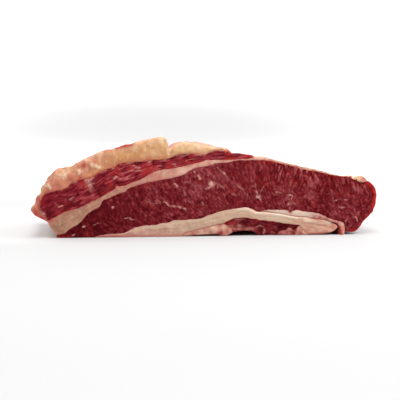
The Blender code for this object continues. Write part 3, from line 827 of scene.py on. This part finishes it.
def make_cap():
    """The thick cap of fat over the point, thinning to a skin round the joint's left tip."""
    bottom = np.vstack([evenly(curve(TIP_LEAN), TIP_COLUMNS)[:-1], in_columns(curve(CAP_POINT), 0, 2)])
    top = np.vstack([evenly(curve(TIP_SKIN), TIP_COLUMNS)[:-1], in_columns(curve(CAP_SKIN), 0, 2)])
    grid = section(bottom, top, *straight_ends(bottom, top, ROWS["cap"]))

    def rounding(s):
        lobe = fade(-31, -24, s.x)
        depth = 0.25 + 0.5 * fade(-116, -96, s.x) + 1.4 * lobe
        return edge_round(s.below, 1.6 + 2.2 * lobe, depth) + edge_round(s.to_end, 2.0, 1.0)

    def relief(s):
        rough = fade(-60, -95, s.x) + fade(0, 12, s.x)
        fine = 0.35 * s.uneven(9, 31) + (0.1 + 0.35 * rough) * s.uneven(3, 35)
        return fine + near_spots(s.x, s.z, CAP_BUMPS) * ~s.on_back

    def sink(s):
        """The knife score, the lumps of the skin and small bumps along the edge."""
        bumps = 0.35 * clouds(np.stack([s.x, 0.8 * s.y], axis=1), 4.5, 45, 2)
        return s.share * score(s.x, s.y) - s.share**2 * (cap_lumps(s.x, s.y) + bumps)

    def skin(s):
        tip = 1.3 * fade(-104, -124, s.x) * fade(0, 0.2, s.w) * s.uneven(10, 47, 2)
        return np.where(s.on_top, s.deep * (0.7 * s.uneven(14, 41) + 0.4 * s.uneven(5, 43) + tip), 0)

    def masks(s):
        pink = 0.17 * (1 - fade(-98, -82, s.x)) * (1 + s.uneven(6, 48, 2))
        lower = 0.42 * (1 - fade(0, 4.5 + 2 * s.uneven(4, 49, 2), s.above)) * fade(-110, -96, s.x)
        crinkles = fade(0, 0.8, clouds(np.stack([s.x / 1.6, s.z / 7], axis=1), 1, 46, 2)) * (s.share > 0.4)
        # The glints among the pale marks are painted highlights on the lobes.
        return marks(
            s, stain=s.spots(CAP_STAINS) + (pink + lower) * s.on_cut,
            pale=s.spots(CAP_PALE) + s.streaks(CAP_GLINTS) + 0.3 * crinkles * s.near,
        )

    # The rim colour lightens the upper part: partly the fat's own colour, partly painted top light.
    finish = fat_finish(
        "fat_cap_finish",
        (
            (-140, 210, 126, 106), (-128, 214, 142, 116), (-110, 216, 146, 118), (-92, 207, 141, 110),
            (-75, 201, 143, 100), (-35, 208, 152, 102), (-22, 227, 187, 137), (20, 222, 170, 135),
        ),
        srgb(222, 166, 98), srgb(180, 60, 58), skin=srgb(210, 150, 122), rim=srgb(236, 188, 152),
        streak=(1.0, 0.6, 0.3),
    )
    layer(
        "fat_cap", grid, finish, slices=50,
        proud=((-140, -1.8), (-124, -0.4), (-100, 0.2), (-60, 0.5), (20, 0)),
        rounding=rounding, relief=relief, skin=skin, sink=sink, masks=masks,
    )


def make_point():
    """The point, the upper muscle, which tapers away under the end of the cap."""
    bottom = in_columns(curve(POINT_SEAM), 0, 3)
    top = np.vstack([in_columns(curve(CAP_POINT), 0, 2)[:-1], evenly(curve(POINT_SKIN), COLUMNS[2])])
    left = evenly(curve(TIP_LEAN), TIP_COLUMNS)

    def fibre(s):
        """Long bundles that lie along the muscle."""
        return bundles(s.along / 11 + 50 * s.on_back, s.above / 2.0 + 0.4 * s.share, 53)

    def rounding(s):
        return edge_round(s.below, 1.0, 0.15 + 0.6 * fade(18, 24, s.x)) + edge_round(s.above, 1.0, 0.15)

    def relief(s):
        edge, own = fibre(s)
        return 0.45 * (edge - 0.5) + 0.3 * (own - 0.5) + 0.25 * s.uneven(6, 51)

    def masks(s):
        edge, own = fibre(s)
        wobble = s.uneven(3, 57, 2)
        grain = s.grain(s.along / 4.5, s.above / 1.3, 56)
        fat = s.streaks(POINT_VEINS, 0.5 * wobble) * (0.65 + 0.5 * grain)
        fat = fat + 0.7 * np.exp(-(s.below / 1.5) ** 2) * fade(-0.5, 0.8, s.uneven(3, 55)) * (s.x < 18)
        fat = fat + 0.5 * np.exp(-(s.along / 2.2) ** 2) * s.on_cut
        wedge = s.streaks(POINT_WEDGE, 0.6 * wobble) * (0.62 + 0.3 * s.uneven(2.6, 58, 2))
        thin = 0.34 * fade(0.3, 0.9, grain) * (1 - fade(0, 0.3, edge))
        dark = s.spots(((-125.6, 19.6, 4, 0.8), (-84, 38, 5, 0.3), (-10, 63, 8, 0.25), (12, 66, 7, 0.35)))
        blush = s.spots(((-98.4, 43, 2.6, 0.8), (-131.6, 29, 3, 0.5), (33, 64, 3, 0.5), (-49, 52.4, 3, 0.5)))
        blush = blush + 0.75 * np.exp(-((s.above - 1.0) / 0.9) ** 2) * fade(-0.2, 0.7, s.uneven(9, 60, 2))
        blush = blush + 0.45 * fade(0.2, 0.9, s.uneven(6, 59, 2)) * fade(-100, -86, s.x) * s.on_cut
        bold = 1.5 * fade(-122, -92, s.x) - 1.0
        # Painted shade: the tone falls towards the left end, which is turned from the light.
        tone = muscle_tone(s, (edge, own), grain, bold=bold) + 0.15 * fade(-122, -84, s.x) - 0.12
        return marks(s, fat=fat + wedge + thin, tone=tone, dark=dark, blush=blush)

    reds = (
        (0.0, 84, 0, 12), (0.3, 114, 14, 28), (0.58, 150, 42, 52), (0.8, 172, 68, 74), (1.0, 196, 106, 106),
    )
    finish = lean_finish(
        "point_lean_finish", reds, srgb(160, 36, 30), srgb(216, 150, 136), grain=(0.2, 0.6, 1.0), along=True,
    )
    grid = section(bottom, top, left, straight(bottom[-1], top[-1], TIP_COLUMNS))
    layer(
        "point_lean", grid, finish, slices=28, proud=((-135, -1.0), (-110, 0), (40, 0)),
        rounding=rounding, relief=relief, masks=masks,
    )


def make_seam():
    """The seam of fat between the muscles, which goes on as the skin over the flat."""
    bottom = in_columns(curve(SEAM_FLAT), 0, 4)
    top = np.vstack([in_columns(curve(POINT_SEAM), 0, 3)[:-1], evenly(curve(SEAM_SKIN), COLUMNS[3])])
    rows = ROWS["seam"]
    grid = section(bottom, top, evenly(curve(SEAM_START), rows), straight(bottom[-1], top[-1], rows))

    def rounding(s):
        return edge_round(s.below, 1.0, 0.1 + 0.5 * fade(38, 44, s.x)) + edge_round(s.above, 1.0, 0.1)

    def relief(s):
        fine = 0.3 * s.uneven(7, 61) + 0.16 * s.uneven(2.4, 62, 2)
        return fine + near_spots(s.x, s.z, ((-72.4, 39.6, 2, 1.0),)) * ~s.on_back

    def skin(s):
        return np.where(s.on_top & (s.x > 40), s.deep * (0.6 * s.uneven(16, 63) + 0.3 * s.uneven(4, 64)), 0)

    def masks(s):
        spots = (
            (-124, 13.4, 2.4, 0.7), (-72.2, 40, 2.4, 0.5), (-44, 50.6, 3, 0.4), (-38, 49, 4, 0.4),
            (-86, 32, 3, 0.3), (-118, 6, 3, 0.2), (2.4, 57.2, 2.4, 0.6), (129, 46, 2.4, 0.6),
            (-106, 20, 2, 0.3), (-112, 18.6, 2.4, 0.3), (-120, 13.8, 2, 0.4),
        )
        pale = (
            (-43, 50.6, 1.8, 0.4), (-38.6, 51.8, 1.6, 0.4), (-34.4, 50, 1.8, 0.35), (-20, 52.6, 3, 0.3),
            (126, 45.4, 3, 0.3),
        )
        flecks = 0.24 * fade(0, 0.8, s.uneven(3.4, 66, 2)) * s.on_cut * fade(-100, -80, s.x)
        milky = 0.14 * fade(0.1, 0.8, s.uneven(2.6, 67, 2)) * s.on_cut
        return marks(s, stain=s.spots(spots) + flecks, pale=s.spots(pale) + milky)

    # Lighter towards the right: partly the fat's own colour, partly painted light from the right.
    finish = fat_finish(
        "seam_fat_finish",
        (
            (-128, 154, 113, 87), (-108, 160, 120, 93), (-88, 177, 126, 105), (-60, 192, 132, 116),
            (-30, 206, 148, 132), (-5, 222, 170, 152), (40, 228, 186, 162), (112, 228, 178, 148),
            (120, 240, 206, 164), (126, 238, 194, 154), (132, 222, 158, 134),
        ),
        srgb(206, 150, 128), srgb(186, 84, 78), skin=srgb(222, 176, 146), bloody=1.8,
    )
    layer(
        "seam_fat", grid, finish, slices=44,
        proud=((-120, 0.4), (0, 0.2), (60, -0.6), (114, -0.6), (122, 0.6)),
        rounding=rounding, relief=relief, skin=skin, masks=masks,
    )


def make_flat():
    """The flat, the large lower muscle, from its thin left edge to its round right end."""
    floor = evenly(curve(FLAT_FLOOR), COLUMNS[0])
    bottom = np.vstack([floor[:-1], in_columns(curve(FLAT_RIB), 1, 4)])
    top = in_columns(curve(SEAM_FLAT), 0, 4)
    rows = ROWS["flat"]
    grid = section(bottom, top, straight(*FLAT_START, rows), evenly(curve(FLAT_END), rows))

    def fibre(s):
        """Bundles that lean on the left, stand tall under the edge on the right and are small below."""
        x = s.x + 60 * s.on_back
        lean = np.interp(s.x, (30, 72, 84, 104, 132), (0.0, -0.28, 0.0, 0.3, 0.4))
        leaning = bundles((x + 0.55 * s.z) / 2.6, s.z / 4.2, 73)
        tall = bundles((x + lean * (s.z - 50)) / 2.6, s.z / 8.4, 83, 0.45)
        small = bundles((x + 0.2 * s.z) / 2.6, s.z / 3.4, 93)
        right, low = fade(20, 46, s.x), fade(12, 24, s.below)
        return [a * (1 - right) + right * (b * (1 - low) + c * low) for a, b, c in zip(leaning, tall, small)]

    def grain(s):
        """Clouds finer than the bundles, drawn out the same way."""
        tall = fade(24, 46, s.x) * (1 - fade(12, 24, s.below))
        slanted = s.grain((s.x + 0.55 * s.z) / 1.4, s.z / 2.2, 95)
        upright = s.grain(s.x / 1.4, s.z / 5.0, 97)
        return slanted * (1 - tall) + upright * tall

    def coarse(s):
        """1 where the tall bundles stand out most, under the edge on the right."""
        return fade(24, 50, s.x) * (1 - fade(14, 28, s.below))

    def rounding(s):
        return edge_round(s.below, 1.0, 0.15) + edge_round(s.above, 1.2, 0.3) + edge_round(s.to_end, 3.0, 1.1)

    def relief(s):
        edge, own = fibre(s)
        tall = coarse(s)
        bumps = (0.4 + 1.0 * tall) * (edge - 0.5) + (0.3 + 0.7 * tall) * (own - 0.5)
        return bumps + (0.2 + 0.25 * tall) * grain(s) + 0.45 * s.uneven(10, 75)

    def skin(s):
        return np.where(s.on_right, s.deep * (0.5 * s.uneven(9, 77) + 0.3 * s.uneven(3, 78)), 0)

    def masks(s):
        edge, own = fibre(s)
        wobble = 0.6 * s.uneven(3, 81, 2)
        fat = s.streaks(FLAT_VEINS, wobble) * (0.7 + 0.5 * s.uneven(2.2, 86, 2))
        thin = 0.34 * fade(0.25, 0.85, s.uneven(4.5, 87, 2)) * (1 - fade(0, 0.3, edge))
        round_end = s.on_right & ~s.on_cut
        # A redder band inside the round end: partly its own red, partly painted light from the right.
        rim = 1 - s.to_end / (2.4 + 2.2 * fade(17, 32, s.z) * fade(46, 40, s.z)) + 0.45 * s.uneven(4, 88)
        rim = rim * (0.68 + 0.32 * fade(10, 24, s.z))
        toe = s.spots(((-118.4, 1, 1.6, 0.9), (-114, 0.8, 1.6, 0.5), (-110, 0.6, 1.6, 0.6), (-95, 2, 3, 0.3)))
        top_edge = 0.35 * fade(30, 60, s.x) * (1 - fade(0, 5, s.below)) * fade(-0.1, 0.6, s.uneven(3, 89))
        # Painted shade: a dark groove line, and shade along the lower edge above the flap.
        groove = s.streaks(((1.1, 0.8, (92, 29.5), (98, 26.4), (101, 22)),), wobble)
        shade = 0.6 * (1 - fade(0, 2.4, s.above)) * fade(80, 92, s.x) * (1 - fade(108, 114, s.x))
        tall = coarse(s)
        between = 0.5 * tall * (1 - fade(0, 0.4, edge))
        tone = muscle_tone(s, (edge, own), grain(s), bold=tall) + s.spots(FLAT_TONES) + 0.04 * tall
        # Painted shade: darker towards the left end and just inside the round right end.
        tone = tone - 0.3 * (1 - fade(-105, -50, s.x)) - 0.1 * (1 - fade(5, 12, s.to_end))
        raw_end = 0.55 * fade(-0.6, 0.6, s.uneven(18, 82))
        return marks(
            s, fat=fat + thin, tone=tone, dark=groove + shade,
            blush=np.where(round_end, raw_end, fade(-0.05, 0.65, rim) + toe + top_edge + between),
        )

    reds = (
        (0.0, 74, 0, 8), (0.28, 103, 8, 20), (0.52, 126, 33, 40), (0.76, 152, 63, 68), (1.0, 180, 100, 102),
    )
    finish = lean_finish(
        "flat_lean_finish", reds, srgb(158, 32, 22), srgb(218, 156, 144), grain=(1.0, 0.3, 0.6), turn=0.3,
    )
    layer(
        "flat_lean", grid, finish, slices=30, proud=((-118, -0.4), (-80, 0), (140, 0)),
        rounding=rounding, relief=relief, skin=skin, masks=masks,
    )


def make_rib_fat():
    """The band of fat under the flat, which ends on the right in a thick lobe."""
    shared = in_columns(curve(FLAT_RIB), 1, 4)[: COLUMNS[1] + COLUMNS[2]]
    top = np.vstack([shared, evenly(curve(RIB_SKIN), COLUMNS[3])])
    bottom = in_columns(curve(RIB_FLOOR, RIB_SPLIT, RIB_LEAN, RIB_UNDER), 1, 4)
    grid = section(bottom, top, *(evenly(curve(side), ROWS["band"]) for side in (RIB_START, LOBE_END)))
    folds = (
        (0.9, 0.9, (78.5, 10), (88.6, 8.8), (95, 7.5), (103.3, 5.4)),
        (0.6, 0.5, (62, 14.4), (70, 13), (80, 12)),
    )
    # The ridges stand out in the relief and are also painted pale as highlights.
    ridges = (
        (1.1, 0.7, (40, 19), (52, 17.6), (62, 15.9), (74, 13.8)),
        (1.0, 0.6, (80, 11.8), (88, 10.4), (94, 9.2)),
    )

    def rounding(s):
        ledge = fade(18, 40, s.x) * (1 - 0.55 * fade(90, 102, s.x))
        open_below = fade(84, 92, s.x)
        over = edge_round(s.below, 0.8 + 1.6 * ledge, 0.15 + 1.5 * ledge)
        return over + edge_round(s.above, 1.5, 0.15 + 1.0 * open_below) + edge_round(s.to_end, 2.4, 1.0)

    def relief(s):
        lines = near_lines(s.x, s.z, ridges) - near_lines(s.x, s.z, folds)
        return 0.3 * s.uneven(9, 91) + 0.2 * s.uneven(3.5, 93) + 0.7 * lines * ~s.on_back

    def masks(s):
        spots = (
            (82, 4, 3.4, 0.45), (92.8, 12, 3, 0.6), (104, 8.6, 2.4, 0.6), (88, 12.8, 2.4, 0.4),
            (-14, 1, 2, 0.3), (97, 2, 3, 0.4), (90, 2.2, 2.4, 0.4),
        )
        low = 0.6 * (1 - fade(0, 3.6, s.z)) * (s.x < 0) + 0.3 * near_lines(s.x, s.z, folds)
        below = 1.2 * (1 - fade(1.2, 2.4, s.z)) * fade(82, 86, s.x)
        # Painted highlights: the pale along the ridges and crest of the band's top edge, lit from above.
        crest = 0.6 * np.exp(-((s.below - 1.2) / 1.1) ** 2) * fade(22, 28, s.x) * fade(42, 37, s.x)
        pale = near_lines(s.x, s.z, ridges) + crest + s.spots(((101, 8.6, 3, 0.35), (92, 5, 4, 0.2)))
        grown = 3 * near_lines(s.x, s.z, NUB_JOIN)
        return marks(s, stain=s.spots(spots) + low + below, pale=pale * 0.8) | {"edge": s.edge + grown}

    # Lighter towards the right partly as painted light, and the rim colour paints top light above.
    finish = fat_finish(
        "rib_fat_finish",
        (
            (-89, 188, 120, 108), (-50, 196, 144, 128), (-14, 194, 158, 134), (28, 204, 170, 145),
            (60, 211, 180, 155), (84, 202, 156, 130), (106, 216, 150, 130),
        ),
        srgb(214, 182, 156), srgb(190, 96, 86), skin=srgb(200, 146, 124), streak=(0.1, 0.6, 1.0),
        pale=srgb(240, 224, 202), rim=srgb(216, 190, 166),
    )
    layer(
        "rib_fat", grid, finish, slices=28, proud=((-80, 0), (-10, 0.8), (30, 2.4), (100, 3.6)),
        rounding=rounding, relief=relief, masks=masks,
    )


def make_flap():
    """The sheet of silver skin between the flat and the lobe, whose free edge hangs to the floor."""
    over = stretch(curve(FLAT_RIB), (45, 19.7), (113.1, 2.2))
    under = stretch(curve(RIB_SKIN), (45.5, 19), (102, 10.2))
    top = evenly(np.vstack([over[:-1], curve(FLAP_FOOT)]), FLAP_COLUMNS)
    bottom = evenly(np.vstack([under, curve(FLAP_BED_END)[1:]]), FLAP_COLUMNS)
    grid = section(bottom, top, *straight_ends(bottom, top, ROWS["flap"]))

    def rounding(s):
        return edge_round(s.below, 1.4, 0.8) + edge_round(s.above, 1.2, 0.8 + 1.6 * fade(96, 106, s.x))

    def relief(s):
        return 0.25 * s.uneven(5, 101) - 0.8 * near_spots(s.x, s.z, ((68, 19, 1.8, 1),))

    def masks(s):
        # Partly blood, partly painted shade: the notch, the crack over the lobe, the hanging edge's left
        # side.
        spots = (
            (68, 19.4, 1.7, 1.4), (88, 14, 2.0, 0.8), (93, 14.2, 2.0, 0.8), (98, 12.8, 2.0, 0.8),
            (103.6, 10.8, 2.0, 0.6), (107, 9, 1.8, 0.7), (108.8, 6, 1.7, 0.9), (108.9, 3.6, 1.7, 0.9),
            (109.2, 1.2, 2, 1.1),
        )
        # Pale silver skin, lightened further where it catches light: partly painted highlight.
        pale = near_spots(s.x, s.z, ((60, 20, 5, 0.4), (79, 18.4, 6, 0.35), (112, 8.6, 1.2, 0.25)))
        return marks(s, stain=near_spots(s.x, s.z, spots), pale=pale)

    finish = fat_finish(
        "rib_flap_finish",
        (
            (45, 204, 182, 162), (64, 200, 172, 156), (72, 214, 190, 172), (84, 208, 176, 162),
            (97, 200, 148, 140), (108, 208, 134, 118), (114, 220, 138, 116),
        ),
        srgb(216, 186, 168), srgb(164, 58, 52), skin=srgb(190, 110, 94), pale=srgb(234, 218, 202),
    )
    layer(
        "rib_flap", grid, finish, slices=28, proud=((45, 1), (80, 1.8), (104, 4)),
        rounding=rounding, relief=relief, masks=masks,
    )


def make_rib_lean():
    """The thin strip of lean under the band of fat."""
    floor, side = (evenly(curve(run), n) for run, n in zip((LEAN_FLOOR, LEAN_NUB), LEAN_COLUMNS))
    bottom = np.vstack([floor[:-1], side])
    top = evenly(stretch(curve(LEAN_TOP, RIB_LEAN), LEAN_TOP[0], (75.6, 8)), sum(LEAN_COLUMNS))
    rows = ROWS["lean"]
    grid = section(bottom, top, evenly(curve(LIP_END), rows), straight(bottom[-1], top[-1], rows))

    def fibre(s):
        """Short bundles along the strip."""
        return bundles(s.x / 5 + 50 * s.on_back, s.z / 2.4, 113)

    def rounding(s):
        return edge_round(s.below, 1.0, 0.2) + edge_round(s.above, 1.6, 0.9 * (1 - fade(56, 60, s.x)))

    def relief(s):
        edge, own = fibre(s)
        return 0.5 * (edge - 0.5) + 0.5 * (own - 0.5) + 0.4 * s.uneven(5, 115)

    def masks(s):
        edge, own = fibre(s)
        grain = s.grain(s.x / 3, s.z / 1.4, 118)
        fat = near_lines(s.x, s.z, LEAN_VEINS) * (0.75 + 0.4 * grain)
        dark = ((31, 10.4, 3.4, 0.9), (43.6, 4, 2.6, 0.9), (62, 7, 4, 0.5), (57, 3, 4, 0.4))
        blush = ((19, 10.6, 3, 0.6), (52, 9.6, 4, 0.4), (74, 7.4, 2, 0.8), (40, 11.4, 3, 0.4))
        return marks(
            s, fat=fat, tone=muscle_tone(s, (edge, own), grain),
            dark=near_spots(s.x, s.z, dark), blush=near_spots(s.x, s.z, blush) * 0.8,
        )

    reds = (
        (0.0, 84, 4, 14), (0.3, 120, 22, 34), (0.58, 150, 48, 56), (0.8, 176, 78, 82), (1.0, 204, 120, 116),
    )
    finish = lean_finish(
        "rib_lean_finish", reds, srgb(140, 36, 30), srgb(204, 140, 122), grain=(0.4, 0.5, 1.0),
    )
    layer(
        "rib_lean", grid, finish, slices=22, proud=((14, 1.2), (22, -0.4), (50, -2.0), (76, -0.8)),
        rounding=rounding, relief=relief, masks=masks,
    )


def pink_fat(name):
    """Pink, blood-stained fat of the small trimmed pieces."""
    return fat_finish(
        name,
        (
            (-20, 202, 140, 124), (2, 208, 155, 134), (18, 208, 144, 128), (58, 184, 101, 92),
            (68, 193, 123, 110), (82, 202, 142, 120),
        ),
        srgb(214, 160, 140), srgb(150, 36, 38), skin=srgb(184, 96, 84),
    )


def make_nub():
    """The nub of fat that closes the end of the thin strip of lean and rests on the floor."""
    side, rib = (evenly(curve(run), n) for run, n in zip((LEAN_NUB, NUB_RIB), NUB_COLUMNS))
    top = np.vstack([side[:-1], rib])
    bottom = evenly(curve(NUB_FLOOR), sum(NUB_COLUMNS))
    grid = section(bottom, top, *straight_ends(bottom, top, ROWS["nub"]))

    def rounding(s):
        below = edge_round(s.below, 1.2, 0.7 * (1 - fade(72, 75, s.x)))
        return below + edge_round(s.above, 1.2, 0.7) + edge_round(s.along, 2, 1)

    def relief(s):
        lumps = (
            (61.6, 2, 1.8, 1), (67, 4.8, 1.4, 0.9), (74, 3.2, 1.8, 1), (79, 2, 1.8, 0.7),
            (70.4, 1.4, 1.8, -1.2),
        )
        return near_spots(s.x, s.z, lumps) + 0.25 * s.uneven(3, 121)

    def masks(s):
        # Partly blood, partly painted shade in the low gaps between the lumps, deepest in the dent.
        spots = (
            (70.4, 1.4, 2.2, 1.3), (72.6, 4, 1.4, 0.7), (76.4, 1.6, 1.6, 0.8), (65.6, 2, 1.4, 0.7),
            (60, 0, 3, 0.5),
        )
        grown = 3 * near_lines(s.x, s.z, NUB_JOIN)
        return marks(s, stain=near_spots(s.x, s.z, spots)) | {"edge": s.edge + grown}

    layer(
        "rib_nub", grid, pink_fat("rib_nub_finish"), slices=22,
        proud=((58, 0.4), (70, 1.4), (76, 3.0), (82, 3.6)), rounding=rounding, relief=relief, masks=masks,
    )


def make_lip():
    """The lip of pink fat that lies split from the band, under its crack."""
    top, bottom = (evenly(curve(side), LIP_COLUMNS) for side in (LIP_TOP, LIP_BED))
    rows = ROWS["lip"]
    grid = section(bottom, top, straight(bottom[0], top[0], rows), evenly(curve(LIP_END), rows))

    def rounding(s):
        return edge_round(s.below, 1.0, 0.7) + edge_round(s.above, 1.4, 0.8)

    def relief(s):
        return 0.4 * s.uneven(5, 131) + near_spots(s.x, s.z, ((15, 2.6, 2.6, 1.1), (8, 4, 4, 0.5)))

    def masks(s):
        spots = (
            (-10, 1, 3, 0.5), (12, 2.4, 2.2, 0.6), (16.6, 3.4, 1.8, 0.6), (10, 0.6, 3, 0.8),
            (18, 8, 2.4, 0.4), (11, 9, 2, 0.35), (4, 2.6, 1.6, 0.5), (-2, 4.6, 2, 0.25),
        )
        pale = ((5, 6.6, 2.2, 0.5), (15, 7, 2, 0.5), (-4, 3, 2, 0.3), (8, 4.4, 1.6, 0.3))
        return marks(s, stain=s.spots(spots) + 0.2 * s.uneven(3, 132), pale=s.spots(pale))

    layer(
        "rib_lip", grid, pink_fat("rib_lip_finish"), slices=22, proud=((-19, 0.6), (20, 1.6)),
        rounding=rounding, relief=relief, masks=masks,
    )


LAYERS = (
    make_cap, make_point, make_seam, make_flat, make_rib_fat, make_flap, make_rib_lean, make_nub, make_lip,
)
for make_layer in LAYERS:
    make_layer()

# ---------------------------------------------------------------- floor, light and camera, in metres

FLAT_TO = 1.6
BEND = 0.8
FLOOR_GAP = 0.0002


def make_stage():
    """A pale floor that curves up into a backdrop: flat to FLAT_TO, then a quarter circle of BEND.
    Far from the joint it glows, so that it stays white, but for a soft grey patch, a painted
    shadow on the backdrop behind the joint. It also glows a little all round the joint and hardly
    under it, so that the joint's shadow stays narrow."""
    across = np.linspace(-4, 4, 9)
    turn = np.linspace(0, math.pi / 2, 25)
    away = np.concatenate([[-3.0, 0.0], FLAT_TO + BEND * np.sin(turn), [FLAT_TO + BEND]])
    up = np.concatenate([[0.0, 0.0], BEND - BEND * np.cos(turn), [3.0]]) - FLOOR_GAP
    strips, steps = len(across), len(up)
    points = np.stack([np.repeat(across, steps), np.tile(away, strips), np.tile(up, strips)], axis=1)
    n = np.arange(strips * steps).reshape(strips, steps)
    quads = np.stack([n[:-1, :-1], n[1:, :-1], n[1:, 1:], n[:-1, 1:]], axis=-1).reshape(-1, 4)
    mesh = bpy.data.meshes.new("floor")
    mesh.from_pydata(points.tolist(), [], quads.tolist())
    mesh.polygons.foreach_set("use_smooth", np.ones(len(quads), bool))

    f = Finish("pale_floor")
    x, y = f.axis("X"), f.axis("Y")
    beside = x.between(0.116, 0.132) + (x * -1.0).between(0.112, 0.13)
    ahead_behind = (y * -1.0).between(0.057, 0.064) + y.between(0.04, 0.06)
    level = y.between(-0.12, -0.05) * (1.0 - y.between(0.05, 0.3))
    close = (beside + ahead_behind).clamp() * 0.25 + beside * level * 0.09 + y.between(-0.02, 0.12) * 0.08
    far = y.between(0.2, 0.9) * 0.52 + (y * -1.0).between(0.5, 0.9) * 0.1
    # The grey patch: painted shadow on the backdrop behind the joint.
    patch_x, patch_y = (x - 0.12) * 1.9, (y - 1.87) * 5.0
    patch = (1.0 - (patch_x * patch_x + patch_y * patch_y)).between(0.0, 1.0)
    glow = f.mix(far * (1.0 - patch * 0.46) + close, (0, 0, 0, 1), (1, 1, 1, 1))
    floor_surface = f.node("ShaderNodeBsdfPrincipled", {}, {
        "Base Color": (0.45, 0.45, 0.45, 1), "Roughness": 0.7, "Specular IOR Level": 0.1,
        "Emission Color": glow, "Emission Strength": 1.0,
    })
    f.node("ShaderNodeOutputMaterial", {}, {"Surface": floor_surface})
    mesh.materials.append(f.material)
    floor = bpy.data.objects.new("floor", mesh)
    bpy.context.scene.collection.objects.link(floor)


def soft_light(name, place, target, size, power):
    """A square soft light at a place, facing a target, in metres and watts."""
    data = bpy.data.lights.new(name, "AREA")
    data.shape, data.size, data.energy = "SQUARE", size, power
    light = bpy.data.objects.new(name, data)
    light.location = place
    light.rotation_euler = (Vector(place) - Vector(target)).to_track_quat("Z", "Y").to_euler()
    bpy.context.scene.collection.objects.link(light)


def set_camera():
    """A long lens, a little above the joint and to its left, aimed below the middle of its face."""
    turn, raised, distance = math.radians(-7), math.radians(4.5), 0.9815
    back = Vector((math.sin(turn) * math.cos(raised), -math.cos(turn) * math.cos(raised), math.sin(raised)))
    data = bpy.data.cameras.new("camera")
    data.lens, data.sensor_width = 110, 36
    camera = bpy.data.objects.new("camera", data)
    camera.location = Vector((-0.0052, -0.061, 0.0291)) + distance * back
    camera.rotation_euler = back.to_track_quat("Z", "Y").to_euler()
    bpy.context.scene.collection.objects.link(camera)
    bpy.context.scene.camera = camera


make_stage()
soft_light("overhead", (0.05, 0.1, 1.1), (0, 0, 0), 1.0, 9.5)
soft_light("key", (0.65, -0.3, 0.65), (0, 0, 0.03), 0.4, 4)
soft_light("front", (-0.15, -0.85, 1.0), (0, 0, 0.03), 0.35, 7.5)
set_camera()

world = bpy.data.worlds.new("studio")
world.use_nodes = True
world.node_tree.nodes["Background"].inputs["Color"].default_value = (1, 1, 1, 1)
world.node_tree.nodes["Background"].inputs["Strength"].default_value = 0.25
bpy.context.scene.world = world
bpy.context.scene.view_settings.view_transform = "Standard"
